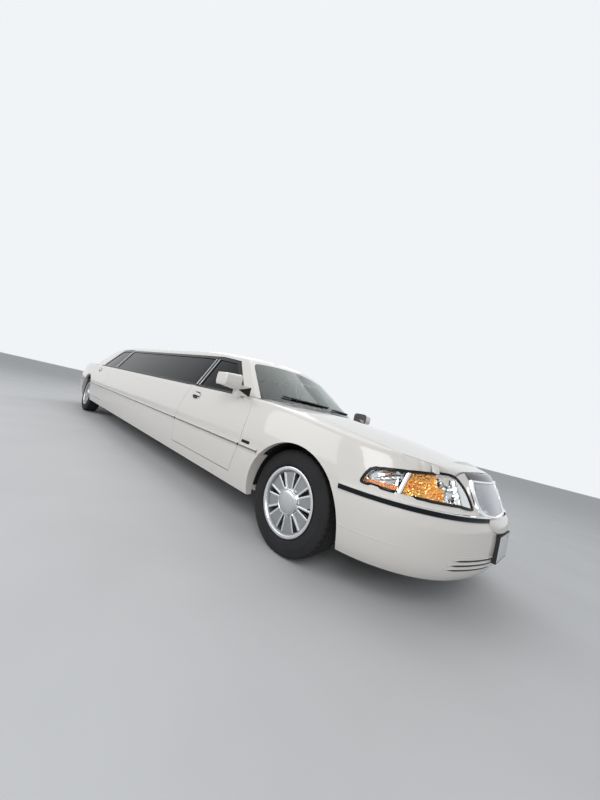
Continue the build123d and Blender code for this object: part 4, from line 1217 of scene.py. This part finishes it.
def front_bumper_strip(side, sign):
    """Black channel with two bright edges along the joint of bumper and nose."""
    line = corner_line(
        lambda x, share: proud(lambda z: skin.side(x, z, sign), BUMPER_SEAM_Z - 0.004 * share),
        lambda y, share: proud(lambda z: skin.front(sign * y, z), 0.593 - 0.006 * share),
        (fx(0.400), fx(0.86)), 0.254, 14, 12)
    line = eased(line, 4)
    pieces = [coat_with(strip("channel", line, bar_section(0.034, 0.005, 0.030)), gloss_black())]
    for shift in (-0.0155, 0.0155):
        edge = strip("edge", raised(line, up=shift), bar_section(0.006, 0.009, 0.028))
        pieces.append(coat_with(edge, chrome()))
    settle(joined(pieces, f"front_bumper_strip_{side}"), "body", 40)


def front_bumper_crease(side, sign, level=0.392):
    """Low fold round the lower part of the bumper."""
    crease = corner_line(
        lambda x, share: skin.side(x, level, sign),
        lambda y, share: skin.front(sign * y, level - 0.004 * share),
        (fx(0.44), fx(0.86)), 0.300, 11, 9)
    fit_strip(f"front_bumper_crease_{side}", eased(crease), bar_section(0.010, 0.0032, 0.002),
              pearl_paint(), "body", 60)


def lower_air_slots(side, sign):
    """Three tapering slots below the bumper's crease, each under a brow.

    Each slot is given by its inner and outer heights and how far out it reaches."""
    front = front_find(sign)
    inner_y, half_width, count = 0.166, 0.0072, 18
    pieces = []
    for inner_z, outer_z, reach in ((0.3695, 0.3720, 0.566), (0.3425, 0.3450, 0.588),
                                    (0.3155, 0.3180, 0.596)):
        edge = []
        for k in range(count + 1):
            y = inner_y + (reach - inner_y) * k / count
            level = inner_z + (outer_z - inner_z) * k / count
            edge.append((y, level, half_width * min(1.0, (count - k) / 2.5 + 0.12)))
        rim = [(y, z + w) for y, z, w in edge] + [(y, z - w) for y, z, w in reversed(edge)]
        verts = [point for point, _ in raised([front(y, z) for y, z in rim], 0.0012)]
        slot = mesh_object("slot", verts, [(k, k + 1, 2 * count - k, 2 * count + 1 - k)
                                           for k in range(count)])
        if slot.data.polygons[0].normal.x < 0:
            slot.data.flip_normals()
        thicken(slot, 0.003)
        pieces.append(coat_with(slot, black_plastic()))
        upper = [front(y, z + w) for y, z, w in edge]
        brow = strip("brow", upper, bar_section(0.005, 0.0045, 0.002))
        pieces.append(coat_with(brow, pearl_paint()))
    settle(joined(pieces, f"lower_air_slots_{side}"), "body", 40)


def front_plate():
    """Blank number plate with its screws, on the bumper's bracket."""
    bracket_face, half_width, low, high = fx(1.077), 0.1525, 0.347, 0.499
    screw_y, screw_z = 0.089, 0.481
    plate = block("front_plate", (bracket_face - 0.001, -half_width, low),
                  (bracket_face + 0.0015, half_width, high), 0.0008)
    pieces = [coat_with(plate, plate_white())]
    for y in (-screw_y, screw_y):
        screw = turned("screw", [(0.006, 0), (0.006, 0.0012), (0.0045, 0.0022)],
                       (bracket_face + 0.0010, y, screw_z), "X", 20)
        pieces.append(coat_with(screw, brake_steel()))
    settle(joined(pieces, "front_number_plate"), "body", 30)


class LIMO_OT_nose(bpy.types.Operator):
    """Fit the grille and its header, bumper strips, air slots, centre bulge and front plate"""

    bl_idname = "limousine.nose"
    bl_label = "Nose"

    def execute(self, context):
        nose = Skin(["nose_panel", "front_bumper"])
        face = grille_face(nose)
        waterfall_grille(face)
        grille_header(face)
        for side, sign in SIDES:
            front_bumper_strip(side, sign)
            front_bumper_crease(side, sign)
            lower_air_slots(side, sign)
        fit_shield("bumper_centre_bulge", both_halves([*reversed(BULGE)]),
                   [(0.985, 0.005), (0.955, 0.010), (0.90, 0.0145), (0.80, 0.0175),
                    (0.66, 0.0195), (0.45, 0.0205), (0.2, 0.0208)], nose.front, pearl_paint(),
                   "body", 60)
        front_plate()
        return {"FINISHED"}


# Each bowl's middle and half width as shares of the lamp's length, the height of their
# middles as a share of its height, and the turn-signal bowl's middle as a share of its length
LAMP_BOWLS = ((0.17, 0.13), (0.845, 0.105))
LAMP_MIDDLE = 0.54
TURN_MIDDLE = 0.52


def bucket_depth(s, t):
    """Height of the headlamp's inside below its face: two bowls, a rib and inner facets."""
    edge = min(s / 0.03, (1 - s) / 0.03, t / 0.10, (1 - t) / 0.10, 1.0)
    deep = -0.062
    for at, wide in LAMP_BOWLS:
        away = ((s - at) / wide) ** 2 + ((t - LAMP_MIDDLE) / 0.46) ** 2
        if away < 1:
            deep = -0.090 + 0.052 * away
    if 0.325 < s < 0.365:
        deep = -0.008
    if s > 0.93:
        deep = -0.014 - 0.006 * ((int(s * 88) + int(t * 10)) % 2)
    return -0.0045 + (deep + 0.0045) * max(0.0, edge)


def turn_facets(s, t):
    """Height of the turn-signal bowl below the lamp's face, with facets round its bulb."""
    away = sqrt(((s - TURN_MIDDLE) / 0.17) ** 2 + ((t - 0.5) / 0.62) ** 2)
    turn = atan2((t - 0.5) * 0.6, s - TURN_MIDDLE)
    wave = 0.0045 * (int(turn * 14 / pi + 20) % 2) + 0.003 * (int(away * 9) % 2)
    return -0.016 - wave - 0.020 * max(0.0, 1 - away)


def lamp_sheet(name, columns, rows, find, lift, thickness, look, angle, *ranges):
    """Part of the headlamp's inside, as a sheet with its thickness."""
    sheet = thicken(sheet_of(name, columns, rows, find, lift, *ranges), thickness)
    settle(coat_with(sheet, look), "body", angle)


def headlamp_lens(side, find, inner):
    """Clear lens of one headlamp: its main pane, and its tip over the nose panel."""
    lens = sheet_of(f"lens_{side}", 56, 12, find,
                    lambda s, t: 0.0006 + 0.006 * max(0.0, (s - 0.9) / 0.1))
    tip = sheet_of("lens_tip", 14, 12, inner, lambda s, t: 0.0066 - 0.003 * s)
    thicken(lens, 0.003)
    thicken(tip, 0.0025)
    return [coat_with(pane, lamp_glass()) for pane in (lens, tip)]


def headlamp_bulbs(side, find):
    """A bulb in front of each bowl."""
    bulbs = []
    for at, _ in LAMP_BOWLS:
        point, normal = find(at, LAMP_MIDDLE)
        clear_selection()
        bpy.ops.mesh.primitive_uv_sphere_add(
            segments=24, ring_count=16, radius=0.017, location=point - normal * 0.050)
        bulbs.append(coat_with(named("bulb"), lamp_silver()))
    settle(joined(bulbs, f"headlamp_bulbs_{side}"), "body", 40)


def headlamp_gasket(side, find, inner):
    """Black outline all round the lens, raised where it follows the tip."""
    tip = [inner(k / 8, 0.0) for k in range(9)]
    tip += [inner(1.0, k / 6) for k in range(1, 6)]
    tip += [inner(1 - k / 10, 1.0) for k in range(10)]
    rim = [find(k / 40, 0.0) for k in range(40)] + raised(tip, 0.004)
    rim += [find(1 - k / 40, 1.0) for k in range(1, 39)]
    rim += [find(0.035, 0.97), find(0.012, 0.86), find(0.0, 0.70), find(0.0, 0.45),
            find(0.0, 0.20), find(0.008, 0.06)]
    fit_strip(f"headlamp_gasket_{side}", eased(rim, 2, True), bar_section(0.016, 0.0045, 0.006),
              gloss_black(), "body", cyclic=True)


class LIMO_OT_headlamps(bpy.types.Operator):
    """Build the headlamps: lens, black outline, bowls, painted amber bulb reflections and bulbs"""

    bl_idname = "limousine.headlamps"
    bl_label = "Headlamps"

    def execute(self, context):
        lenses = []
        for side, sign in SIDES:
            find = lamp_place(sign)
            inner = inner_lamp_place(sign)
            lenses += headlamp_lens(side, find, inner)
            glint = sheet_of(f"headlamp_inner_reflector_{side}", 16, 16, inner,
                             lambda s, t: 0.0014 + 0.0016 * ((int(s * 16) + int(t * 16)) % 2))
            settle(coat_with(glint, lamp_silver()), "body", 8)
            lamp_sheet(f"headlamp_bucket_{side}", 88, 20, find, bucket_depth, 0.002,
                       lamp_silver(), 25)

            def turn_bowl_place(s, t, face=find):
                """The turn-signal bowl's place, cut away where the headlamp's bowl begins."""
                roof = 0.97 if s < 0.565 else max(0.50, 0.97 - (s - 0.565) * 4.2)
                return face(s, 0.03 + (roof - 0.03) * t)

            # The turn-signal bowl is silver; its amber colour is the bulb's painted reflection.
            lamp_sheet(f"turn_reflector_{side}", 64, 24, turn_bowl_place, turn_facets, 0.002,
                       painted_amber_reflection(), 6, (0.375, 0.775))
            lamp_sheet(f"side_marker_{side}", 26, 4, find,
                       lambda s, t: -0.010 - 0.003 * (int(s * 110) % 2), 0.003, amber_glass(), 10,
                       (0.028, 0.318), (0.05, 0.31))
            headlamp_bulbs(side, find)
            headlamp_gasket(side, find, inner)
            post = [find(0.345, k / 6) for k in range(7)]
            fit_strip(f"headlamp_divider_{side}", post, bar_section(0.014, 0.0005, 0.008),
                      lamp_silver(), "body")
        pair = joined(lenses, "headlamp_lenses")
        settle(pair, "body", 40)
        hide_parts("headlamps")
        return {"FINISHED"}


def rear_bumper_strip(side, sign):
    """Black channel with a bright line round the rear bumper."""
    side_z, rear_z, start_x, corner_x = 0.618, 0.606, rx(-0.46), rx(-1.20)
    rear = rear_find(sign)
    line = corner_line(lambda x, share: skin.side(x, side_z, sign),
                       lambda y, share: rear(y + 0.002, rear_z), (start_x, corner_x), 0.0, 11, 12)
    pieces = [
        coat_with(strip("channel", line, bar_section(0.030, 0.005, 0.022)), gloss_black()),
        coat_with(strip("bright", line, bar_section(0.006, 0.007, 0.004)), chrome()),
    ]
    settle(joined(pieces, f"rear_bumper_strip_{side}"), "body", 40)


def trunk_trim():
    """Number plate in its recess, the garnish above it and the high stop lamp."""
    recess_z, plate_z, garnish_z, stop_x = 0.782, 0.778, 0.876, rx(-1.262)
    half_garnish, half_stop = 0.60, 0.17
    fit_shield("rear_plate_recess", oval((0, recess_z), 0.400, 0.158, 40, 9),
               [(1.0, 0.003), (0.97, 0.004), (0.93, 0.0012), (0.4, 0.0012)], skin.rear,
               black_plastic(), "trunk_panel")
    fit_shield("rear_number_plate", oval((0, plate_z), 0.305, 0.136, 40, 14),
               [(1.0, 0.0052), (0.985, 0.006)], skin.rear, plate_white(), "trunk_panel")
    garnish = [skin.rear(half_garnish * (1 - k / 12), garnish_z) for k in range(25)]
    fit_strip("trunk_garnish", garnish, bar_section(0.026, 0.010, 0.003), chrome(),
              "trunk_panel")
    top = [skin.top(stop_x, half_stop * (1 - k / 4)) for k in range(9)]
    fit_strip("high_stop_lamp", top, bar_section(0.020, 0.010, 0.003), red_glass(),
              "trunk_panel")


class LIMO_OT_tail(bpy.types.Operator):
    """Build the tail: lamps, trunk strip, plate recess, bumper strip and exhaust tips"""

    bl_idname = "limousine.tail"
    bl_label = "Tail"

    def execute(self, context):
        dress("tail_lamps", red_glass(), "red_lamp", angle=40)
        for side, sign in SIDES:
            rear = rear_find(sign)
            for name, level in (("low", 0.706), ("mid", 0.790), ("high", 0.874)):
                run = corner_line(lambda x, share: skin.side(x, level, sign),
                                  lambda y, share: rear(y, level),
                                  (rx(-1.152), rx(-1.245)), 0.652, 11, 8)
                fit_strip(f"tail_lamp_{name}_trim_{side}", run, bar_section(0.007, 0.004, 0.003),
                          chrome(), "body")
            fit_shield(f"reversing_lens_{side}", oval((0.705, 0.748), 0.070, 0.052, 28, 6),
                       [(1.0, 0.002), (0.93, 0.004), (0.5, 0.005)], rear, white_lens(), "body")
            rear_bumper_strip(side, sign)
            tip = turned(
                f"exhaust_tip_{side}",
                [(0.030, 0.02), (0.033, -0.10), (0.034, -0.128), (0.031, -0.130), (0.030, -0.10)],
                (rx(-1.29), sign * 0.250, 0.310), "X", 36, close_start=False)
            settle(coat_with(tip, chrome()), "body", 35)
            fit_shield(f"rear_reflector_{side}", oval((0.560, 0.470), 0.120, 0.034, 28, 6),
                       [(1.0, 0.002), (0.94, 0.004)], rear, red_glass(), "body")

        trunk_trim()
        return {"FINISHED"}


class LIMO_OT_screen(bpy.types.Operator):
    """Fit the wipers and the rear-view mirror"""

    bl_idname = "limousine.screen"
    bl_label = "Windshield parts"

    def execute(self, context):
        glass = Skin(["windshield"])
        span, foot_z, rise, half_foot, narrowing = 1.47, 1.053, 0.215, 0.712, 0.122

        def face(s, t):
            """Place on the glass: s runs across its width, t up its height."""
            half = half_foot - narrowing * t
            return glass.front(-half + 2 * half * s, foot_z + rise * t)

        for name, hinge, tip in (("left", 0.08, 0.58), ("right", -0.56, -0.06)):
            sweep = (tip - hinge) / span
            arm = [face(0.5 + hinge / span + sweep * k / 10, 0.015 + 0.05 * k / 10)
                   for k in range(11)]
            blade = [face(0.5 + (hinge + 0.10) / span + sweep * k / 10, 0.055 + 0.035 * k / 10)
                     for k in range(11)]
            parts = [strip("arm", raised(arm, 0.010), bar_section(0.012, 0.007, 0.004)),
                     strip("blade", raised(blade, 0.003), bar_section(0.008, 0.010, 0.003))]
            wiper = joined([coat_with(p, black_plastic()) for p in parts], f"wiper_{name}")
            settle(wiper, "body", 40)
        mirror = block("rear_view_mirror", (fx(-1.165), -0.125, 1.245), (fx(-1.135), 0.125, 1.315),
                       0.012, 4)
        stalk = turned("stalk", [(0.009, 0), (0.008, 0.065)], (fx(-1.145), 0, 1.305), "Z", 20)
        piece = joined([mirror, stalk], "rear_view_mirror")
        settle(coat_with(piece, black_plastic()), "body", 40)
        return {"FINISHED"}


OUTBOARD = Vector((0, 1, 0))


def spoke_bars(name, first):
    """The raised bright edges of eight spokes, with the bosses round the cap, at the origin."""
    pieces = []
    front, boss_front = 0.0815, 0.0825
    spoke_boss, lug_boss, half_boss = 0.0935, 0.0895, 0.009
    for number in range(8):
        angle = radians(first + 45 * number)
        along = Vector((cos(angle), 0, sin(angle)))
        beside = Vector((-sin(angle), 0, cos(angle)))
        for way in (-1, 1):
            places = []
            for r in (0.080, 0.203):
                half = 0.025 + 0.033 * (r - 0.060) / 0.140
                point = along * r + beside * way * (half - 0.0065) + OUTBOARD * front
                places.append((point, OUTBOARD))
            edge = strip("edge", places, bar_section(0.013, 0.006, 0.004, 0.2))
            pieces.append(coat_with(edge, machined()))
        for distance, turn in ((spoke_boss, angle), (lug_boss, angle + pi / 8)):
            out = Vector((cos(turn), 0, sin(turn)))
            over = Vector((-sin(turn), 0, cos(turn)))
            centre = out * distance + OUTBOARD * boss_front
            ends = [(centre - over * half_boss, OUTBOARD), (centre + over * half_boss, OUTBOARD)]
            boss = strip("boss", ends, bar_section(0.011, 0.010, 0.006, 0.3))
            pieces.append(coat_with(boss, machined()))
    return joined(pieces, name)


def wheel_trim_master():
    """What all four wheels share: the domed cap, the bright rim lip and the valve."""
    lip_radius, lip_front = 0.2195, 0.1035
    cap = turned("cap", [(0.0860, 0.080), (0.0860, 0.0985), (0.0845, 0.1005), (0.0810, 0.1015),
                         (0.0790, 0.0995), (0.0765, 0.0995), (0.0735, 0.1040),
                         (0.0640, 0.1075), (0.0480, 0.1105), (0.0260, 0.1122),
                         (0.0080, 0.1126)], (0, 0, 0), "Y", 72)
    coat_with(cap, cap_alloy())
    places = [(Vector((lip_radius * cos(a), lip_front, lip_radius * sin(a))), OUTBOARD)
              for a in (2 * pi * k / 96 for k in range(96))]
    lip = strip("lip", places, bar_section(0.019, 0.0035, 0.004, 0.3), cyclic=True)
    coat_with(lip, machined())
    valve = turned("valve", [(0.005, 0.080), (0.005, 0.104), (0.003, 0.106)],
                   (0.190, 0, 0.018), "Y", 14)
    coat_with(valve, black_plastic())
    return joined([cap, lip, valve], "wheel_trim_master")


def dress_wheel(node, middle, sign):
    """Wheel with grey recesses, a dark barrel, a steel brake face and a machined rim."""
    barrel_radius, disc_radius, lip_radius = 0.192, 0.156, 0.205
    barrel_front, disc_front, lip_rear = 0.0995, 0.055, 0.1
    wheel = dress(node, recess_paint(), "cast", angle=30)

    def radius(c):
        return ((c.x - middle.x) ** 2 + (c.z - middle.z) ** 2) ** 0.5

    def out(c):
        return (c.y - middle.y) * sign

    recolour(wheel, barrel_paint(),
             lambda c, n: radius(c) > barrel_radius and out(c) < barrel_front)
    recolour(wheel, brake_steel(), lambda c, n: radius(c) < disc_radius and out(c) < disc_front)
    recolour(wheel, machined(), lambda c, n: radius(c) > lip_radius and out(c) > lip_rear)


class LIMO_OT_wheels(bpy.types.Operator):
    """Finish the wheels: bright spoke edges, rim lip, domed cap and dark barrel"""

    bl_idname = "limousine.wheels"
    bl_label = "Wheels"

    def execute(self, context):
        common = wheel_trim_master()
        for side, sign in SIDES:
            bars = spoke_bars(f"bars_{side}", 30 if side == "left" else 15)
            full = joined([twin_of(common, "part"), bars], f"wheel_trim_{side}_master")
            if side == "right":
                twin = across(full, f"wheel_trim_{side}_mirrored")
                discard(full)
                full = twin
            for end, x, half_track in WHEELS:
                middle = Vector((x, sign * half_track, AXLE_Z))
                trim = placed(full, f"{end}_wheel_trim_{side}", middle)
                settle(trim, f"{end}_{side}_wheel", 35)
                dress_wheel(f"{end}_wheel_{side}", middle, sign)
            discard(full)
        discard(common)
        return {"FINISHED"}


def tyre_master(outer, steps=144):
    """Tyre at the origin: a turned section, with every third shoulder block sunk.

    The half section's points are (radius, distance from the middle), from the bead out."""
    half = [(0.214, 0.094), (0.229, 0.0945), (0.234, 0.0985), (0.239, 0.1000), (0.244, 0.1075),
            (0.256, 0.1112), (0.272, 0.1122), (0.288, 0.1115), (0.291, 0.1122), (0.294, 0.1108),
            (0.306, 0.1082), (0.318, 0.1040), (0.327, 0.1010), (0.336, 0.0960),
            (0.3425, 0.0915), (0.3465, 0.0855), (0.3480, 0.0640), (0.3405, 0.0620),
            (0.3405, 0.0540), (0.3490, 0.0520), (outer - 0.0012, 0.0260), (0.3420, 0.0245),
            (0.3420, 0.0165), (outer - 0.0004, 0.0150)]
    rings = half + [(r, -y) for r, y in reversed(half)]
    tyre = turned("tyre_master", rings, (0, 0, 0), "Y", steps, close_start=False, close_end=False)
    start_edit(tyre, "DESELECT")
    end_edit()
    for face in tyre.data.polygons:
        radius = (face.center.x ** 2 + face.center.z ** 2) ** 0.5
        angle = atan2(face.center.z, face.center.x)
        number = int(round((angle + pi) / (2 * pi) * steps - 0.5)) % steps
        face.select = number % 3 == 0 and (
            0.3415 < radius and 0.065 < abs(face.center.y) < 0.0935)
    bpy.ops.object.mode_set(mode="EDIT")
    bpy.ops.mesh.inset(thickness=0.0016, depth=-0.005, use_individual=False)
    end_edit()
    return coat_with(tyre, rubber())


class LIMO_OT_tyres(bpy.types.Operator):
    """Build the tyres with their sidewall ribs, tread grooves and shoulder blocks"""

    bl_idname = "limousine.tyres"
    bl_label = "Tyres"

    def execute(self, context):
        tyre = tyre_master(context.scene.limousine_sizes.tyre_radius)
        for side, sign in SIDES:
            for end, x, half_track in WHEELS:
                copy = placed(tyre, f"{end}_tyre_{side}_tread", (x, sign * half_track, AXLE_Z))
                settle(thicken(copy, 0.008), f"{end}_{side}_wheel", 38)
                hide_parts(f"{end}_tyre_{side}")
        discard(tyre)
        return {"FINISHED"}


def blown_up(thing, most=0.014):
    """Swells a padded piece as cloth under pressure, with no point moved beyond a limit."""
    start = [v.co.copy() for v in thing.data.vertices]
    choose(thing)
    bpy.ops.object.modifier_add(type="CLOTH")
    cloth = thing.modifiers[-1]
    cloth.settings.quality = 3
    cloth.settings.mass = 0.3
    cloth.settings.use_pressure = True
    cloth.settings.uniform_pressure_force = 4
    cloth.settings.effector_weights.gravity = 0
    cloth.collision_settings.use_collision = False
    for number in range(1, 13):
        bpy.context.scene.frame_set(number)
    bpy.ops.object.modifier_apply(modifier=cloth.name)
    bpy.context.scene.frame_set(1)
    for vertex, rest in zip(thing.data.vertices, start):
        move = vertex.co - rest
        if move.length > most:
            vertex.co = rest + move * (most / move.length)


def cushion(name, low, high, lean):
    """Padded cushion: a rounded block, leaned back and blown up softly as cloth."""
    swell, voxel = 0.010, 0.014
    rounding = min(h - a for a, h in zip(low, high)) * 0.28
    thing = block(name, [a + swell for a in low], [b - swell for b in high], rounding, 4)
    if lean:
        choose(thing)
        for vertex in thing.data.vertices:
            vertex.co.x -= lean * (vertex.co.z - low[2])
    modify(thing, "REMESH", mode="VOXEL", voxel_size=voxel)
    blown_up(thing)
    modify(thing, "SMOOTH", factor=0.5, iterations=4)
    modify(thing, "SUBSURF", levels=1, render_levels=1)
    return coat_with(thing, leather())


def piping(name, low, high, lean):
    """Sewn piping round a cushion at half its height."""
    level = (low[2] + high[2]) / 2
    middle_x = (low[0] + high[0]) / 2 - lean * (level - low[2])
    middle_y = (low[1] + high[1]) / 2
    points = oval((middle_x, middle_y), (high[0] - low[0]) + 0.002, (high[1] - low[1]) + 0.002,
                  56, 7)
    centre = Vector((middle_x, middle_y, level))
    places = []
    for x, y in points:
        point = Vector((x, y, level))
        places.append((point, (point - centre).normalized()))
    cord = [(-0.004, -0.003), (0.002, -0.003), (0.004, 0), (0.002, 0.003), (-0.004, 0.003)]
    return coat_with(strip(name, places, cord, cyclic=True), leather())


def seat_pads():
    """Every cushion and backrest: its name, its two corners and how far it leans back."""
    pads = []
    for side, sign in SIDES:
        y0, y1 = sorted((sign * 0.205, sign * 0.700))
        pads.append((f"front_cushion_{side}",
                     (fx(-1.66), y0, 0.42), (fx(-1.175), y1, 0.585), 0))
        pads.append((f"front_backrest_{side}",
                     (fx(-1.775), y0, 0.56), (fx(-1.60), y1, 1.115), 0.20))
    for number in range(3):
        y0 = -0.735 + 0.49 * number
        y1 = y0 + 0.486
        pads.append((f"rear_cushion_{number + 1}",
                     (rx(0.70), y0, 0.43), (rx(1.135), y1, 0.60), 0))
        pads.append((f"rear_backrest_{number + 1}",
                     (rx(0.555), y0, 0.575), (rx(0.715), y1, 1.11), 0.18))
    lounge_rear, lounge_front = rx(1.25), fx(-2.45)
    length = (lounge_front - lounge_rear) / 3
    for number in range(3):
        x0 = lounge_rear + length * number
        x1 = x0 + length - 0.004
        pads.append((f"lounge_cushion_{number + 1}",
                     (x0, 0.315, 0.41), (x1, 0.70, 0.565), 0))
        pads.append((f"lounge_backrest_{number + 1}",
                     (x0, 0.665, 0.55), (x1, 0.80, 0.94), 0))
    return pads


def seat_bases():
    """Carpeted boxes below the front seats, the rear bench and the lounge bench."""
    foot = 0.33
    stands = []
    for _, sign in SIDES:
        y0, y1 = sorted((sign * 0.23, sign * 0.675))
        stands.append(block("base", (fx(-1.64), y0, foot), (fx(-1.22), y1, 0.44), 0.02))
    stands.append(block("base", (rx(0.56), -0.73, foot), (rx(1.11), 0.73, 0.45), 0.02))
    stands.append(block("base", (rx(1.25), 0.335, foot), (fx(-2.45), 0.81, 0.43), 0.02))
    return joined([coat_with(b, carpet()) for b in stands], "seat_bases")


class LIMO_OT_seats(bpy.types.Operator):
    """Upholster the front seats, the rear bench and the lounge bench"""

    bl_idname = "limousine.seats"
    bl_label = "Seats"

    def execute(self, context):
        bases = seat_bases()
        settle(bases, "body", 35)
        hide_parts("seats")
        for name, low, high, lean in seat_pads():
            pad = cushion(name, low, high, lean)
            settle(pad, "body", 60)
            settle(piping(name + "_piping", low, high, lean), "body", 60)
        return {"FINISHED"}


def studio_world(scene):
    """Dim light on the car from all round, and a brighter backdrop for what sees it."""
    world = bpy.data.worlds.new("studio")
    scene.world = world
    world.use_nodes = True
    tree = world.node_tree
    background = tree.nodes["Background"]
    background.inputs["Color"].default_value = (0.80, 0.82, 0.85, 1)
    background.inputs["Strength"].default_value = 0.42
    shown = tree.nodes.new("ShaderNodeBackground")
    shown.inputs["Color"].default_value = (0.88, 0.90, 0.92, 1)
    shown.inputs["Strength"].default_value = 1.0
    path = tree.nodes.new("ShaderNodeLightPath")
    seen = tree.nodes.new("ShaderNodeMath")
    seen.operation = "MAXIMUM"
    also = tree.nodes.new("ShaderNodeMath")
    also.operation = "MAXIMUM"
    mix = tree.nodes.new("ShaderNodeMixShader")
    for source, target in (
        (path.outputs["Is Camera Ray"], seen.inputs[0]),
        (path.outputs["Is Glossy Ray"], seen.inputs[1]),
        (seen.outputs[0], also.inputs[0]),
        (path.outputs["Is Transmission Ray"], also.inputs[1]),
        (also.outputs[0], mix.inputs[0]),
        (background.outputs[0], mix.inputs[1]),
        (shown.outputs[0], mix.inputs[2]),
        (mix.outputs[0], tree.nodes["World Output"].inputs["Surface"]),
    ):
        tree.links.new(source, target)


def softboxes():
    """Large lamps round the car, each aimed at its middle."""
    for name, place, size, power in (
        ("key_softbox", (7.5, -6.5, 5.5), 5.0, 300),
        ("side_softbox", (-2.0, -8.0, 5.0), 7.0, 260),
        ("top_softbox", (0.0, 2.0, 7.5), 8.0, 150),
        ("far_softbox", (-8.0, 7.0, 5.0), 6.0, 240),
    ):
        bpy.ops.object.light_add(type="AREA", location=place)
        lamp = bpy.context.object
        lamp.name = name
        lamp.data.size = size
        lamp.data.energy = power
        aim = Vector((0.5, 0, 0.5)) - Vector(place)
        lamp.rotation_euler = aim.to_track_quat("-Z", "Y").to_euler()


def photo_camera(scene):
    """Camera of the photograph, whose focal length and centre are in pixels of its height."""
    picture_height, focal_length, centre_right, centre_down = 800, 300.97, -0.72, -2.28
    bpy.ops.object.camera_add(location=(4.5606, -2.4299, 0.9273))
    camera = bpy.context.object
    camera.name = "photo_camera"
    ahead = Vector((-0.694, 0.717, 0.059)).normalized()
    down = Vector((0.130, 0.206, -0.970))
    up = -(down - ahead * down.dot(ahead)).normalized()
    right = ahead.cross(up).normalized()
    camera.rotation_euler = Matrix((right, up, -ahead)).transposed().to_euler()
    camera.data.sensor_width = 36
    camera.data.lens = camera.data.sensor_width * focal_length / picture_height
    camera.data.shift_x = centre_right / picture_height
    camera.data.shift_y = centre_down / picture_height
    camera.data.clip_start = 0.05
    camera.data.clip_end = 200
    scene.camera = camera


class LIMO_OT_stage(bpy.types.Operator):
    """Lay the floor, light it softly and place the camera of the photograph"""

    bl_idname = "limousine.stage"
    bl_label = "Stage"

    def execute(self, context):
        scene = context.scene
        clear_selection()
        bpy.ops.mesh.primitive_plane_add(size=80, location=(0, 0, 0))
        floor = named("studio_floor")
        coat_with(floor, floor_paint())
        studio_world(scene)
        softboxes()
        photo_camera(scene)
        scene.view_settings.view_transform = "Standard"
        return {"FINISHED"}


class LIMO_PT_panel(bpy.types.Panel):
    """Lists the limousine's operators and settings"""

    bl_idname = "LIMO_PT_panel"
    bl_label = "Limousine"
    bl_space_type = "VIEW_3D"
    bl_region_type = "UI"
    bl_category = "Limousine"

    def draw(self, context):
        column = self.layout.column()
        for group in (context.scene.limousine_looks, context.scene.limousine_sizes):
            for key in group.__annotations__:
                column.prop(group, key)
        for operator in OPERATORS:
            column.operator(operator.bl_idname)


OPERATORS = (
    LIMO_OT_panels, LIMO_OT_glass, LIMO_OT_underbody, LIMO_OT_mouldings, LIMO_OT_handles,
    LIMO_OT_nose, LIMO_OT_headlamps, LIMO_OT_tail, LIMO_OT_screen, LIMO_OT_wheels, LIMO_OT_tyres,
    LIMO_OT_seats, LIMO_OT_stage,
)
CLASSES = (LimousineLooks, LimousineSizes, *OPERATORS, LIMO_PT_panel)


def register():
    for cls in CLASSES:
        bpy.utils.register_class(cls)
    bpy.types.Scene.limousine_looks = bpy.props.PointerProperty(type=LimousineLooks)
    bpy.types.Scene.limousine_sizes = bpy.props.PointerProperty(type=LimousineSizes)


def unregister():
    del bpy.types.Scene.limousine_sizes
    del bpy.types.Scene.limousine_looks
    for cls in reversed(CLASSES):
        bpy.utils.unregister_class(cls)


def main():
    register()
    for operator in OPERATORS:
        group, verb = operator.bl_idname.split(".")
        getattr(getattr(bpy.ops, group), verb)()
    clear_selection()


if __name__ == "__main__":
    main()
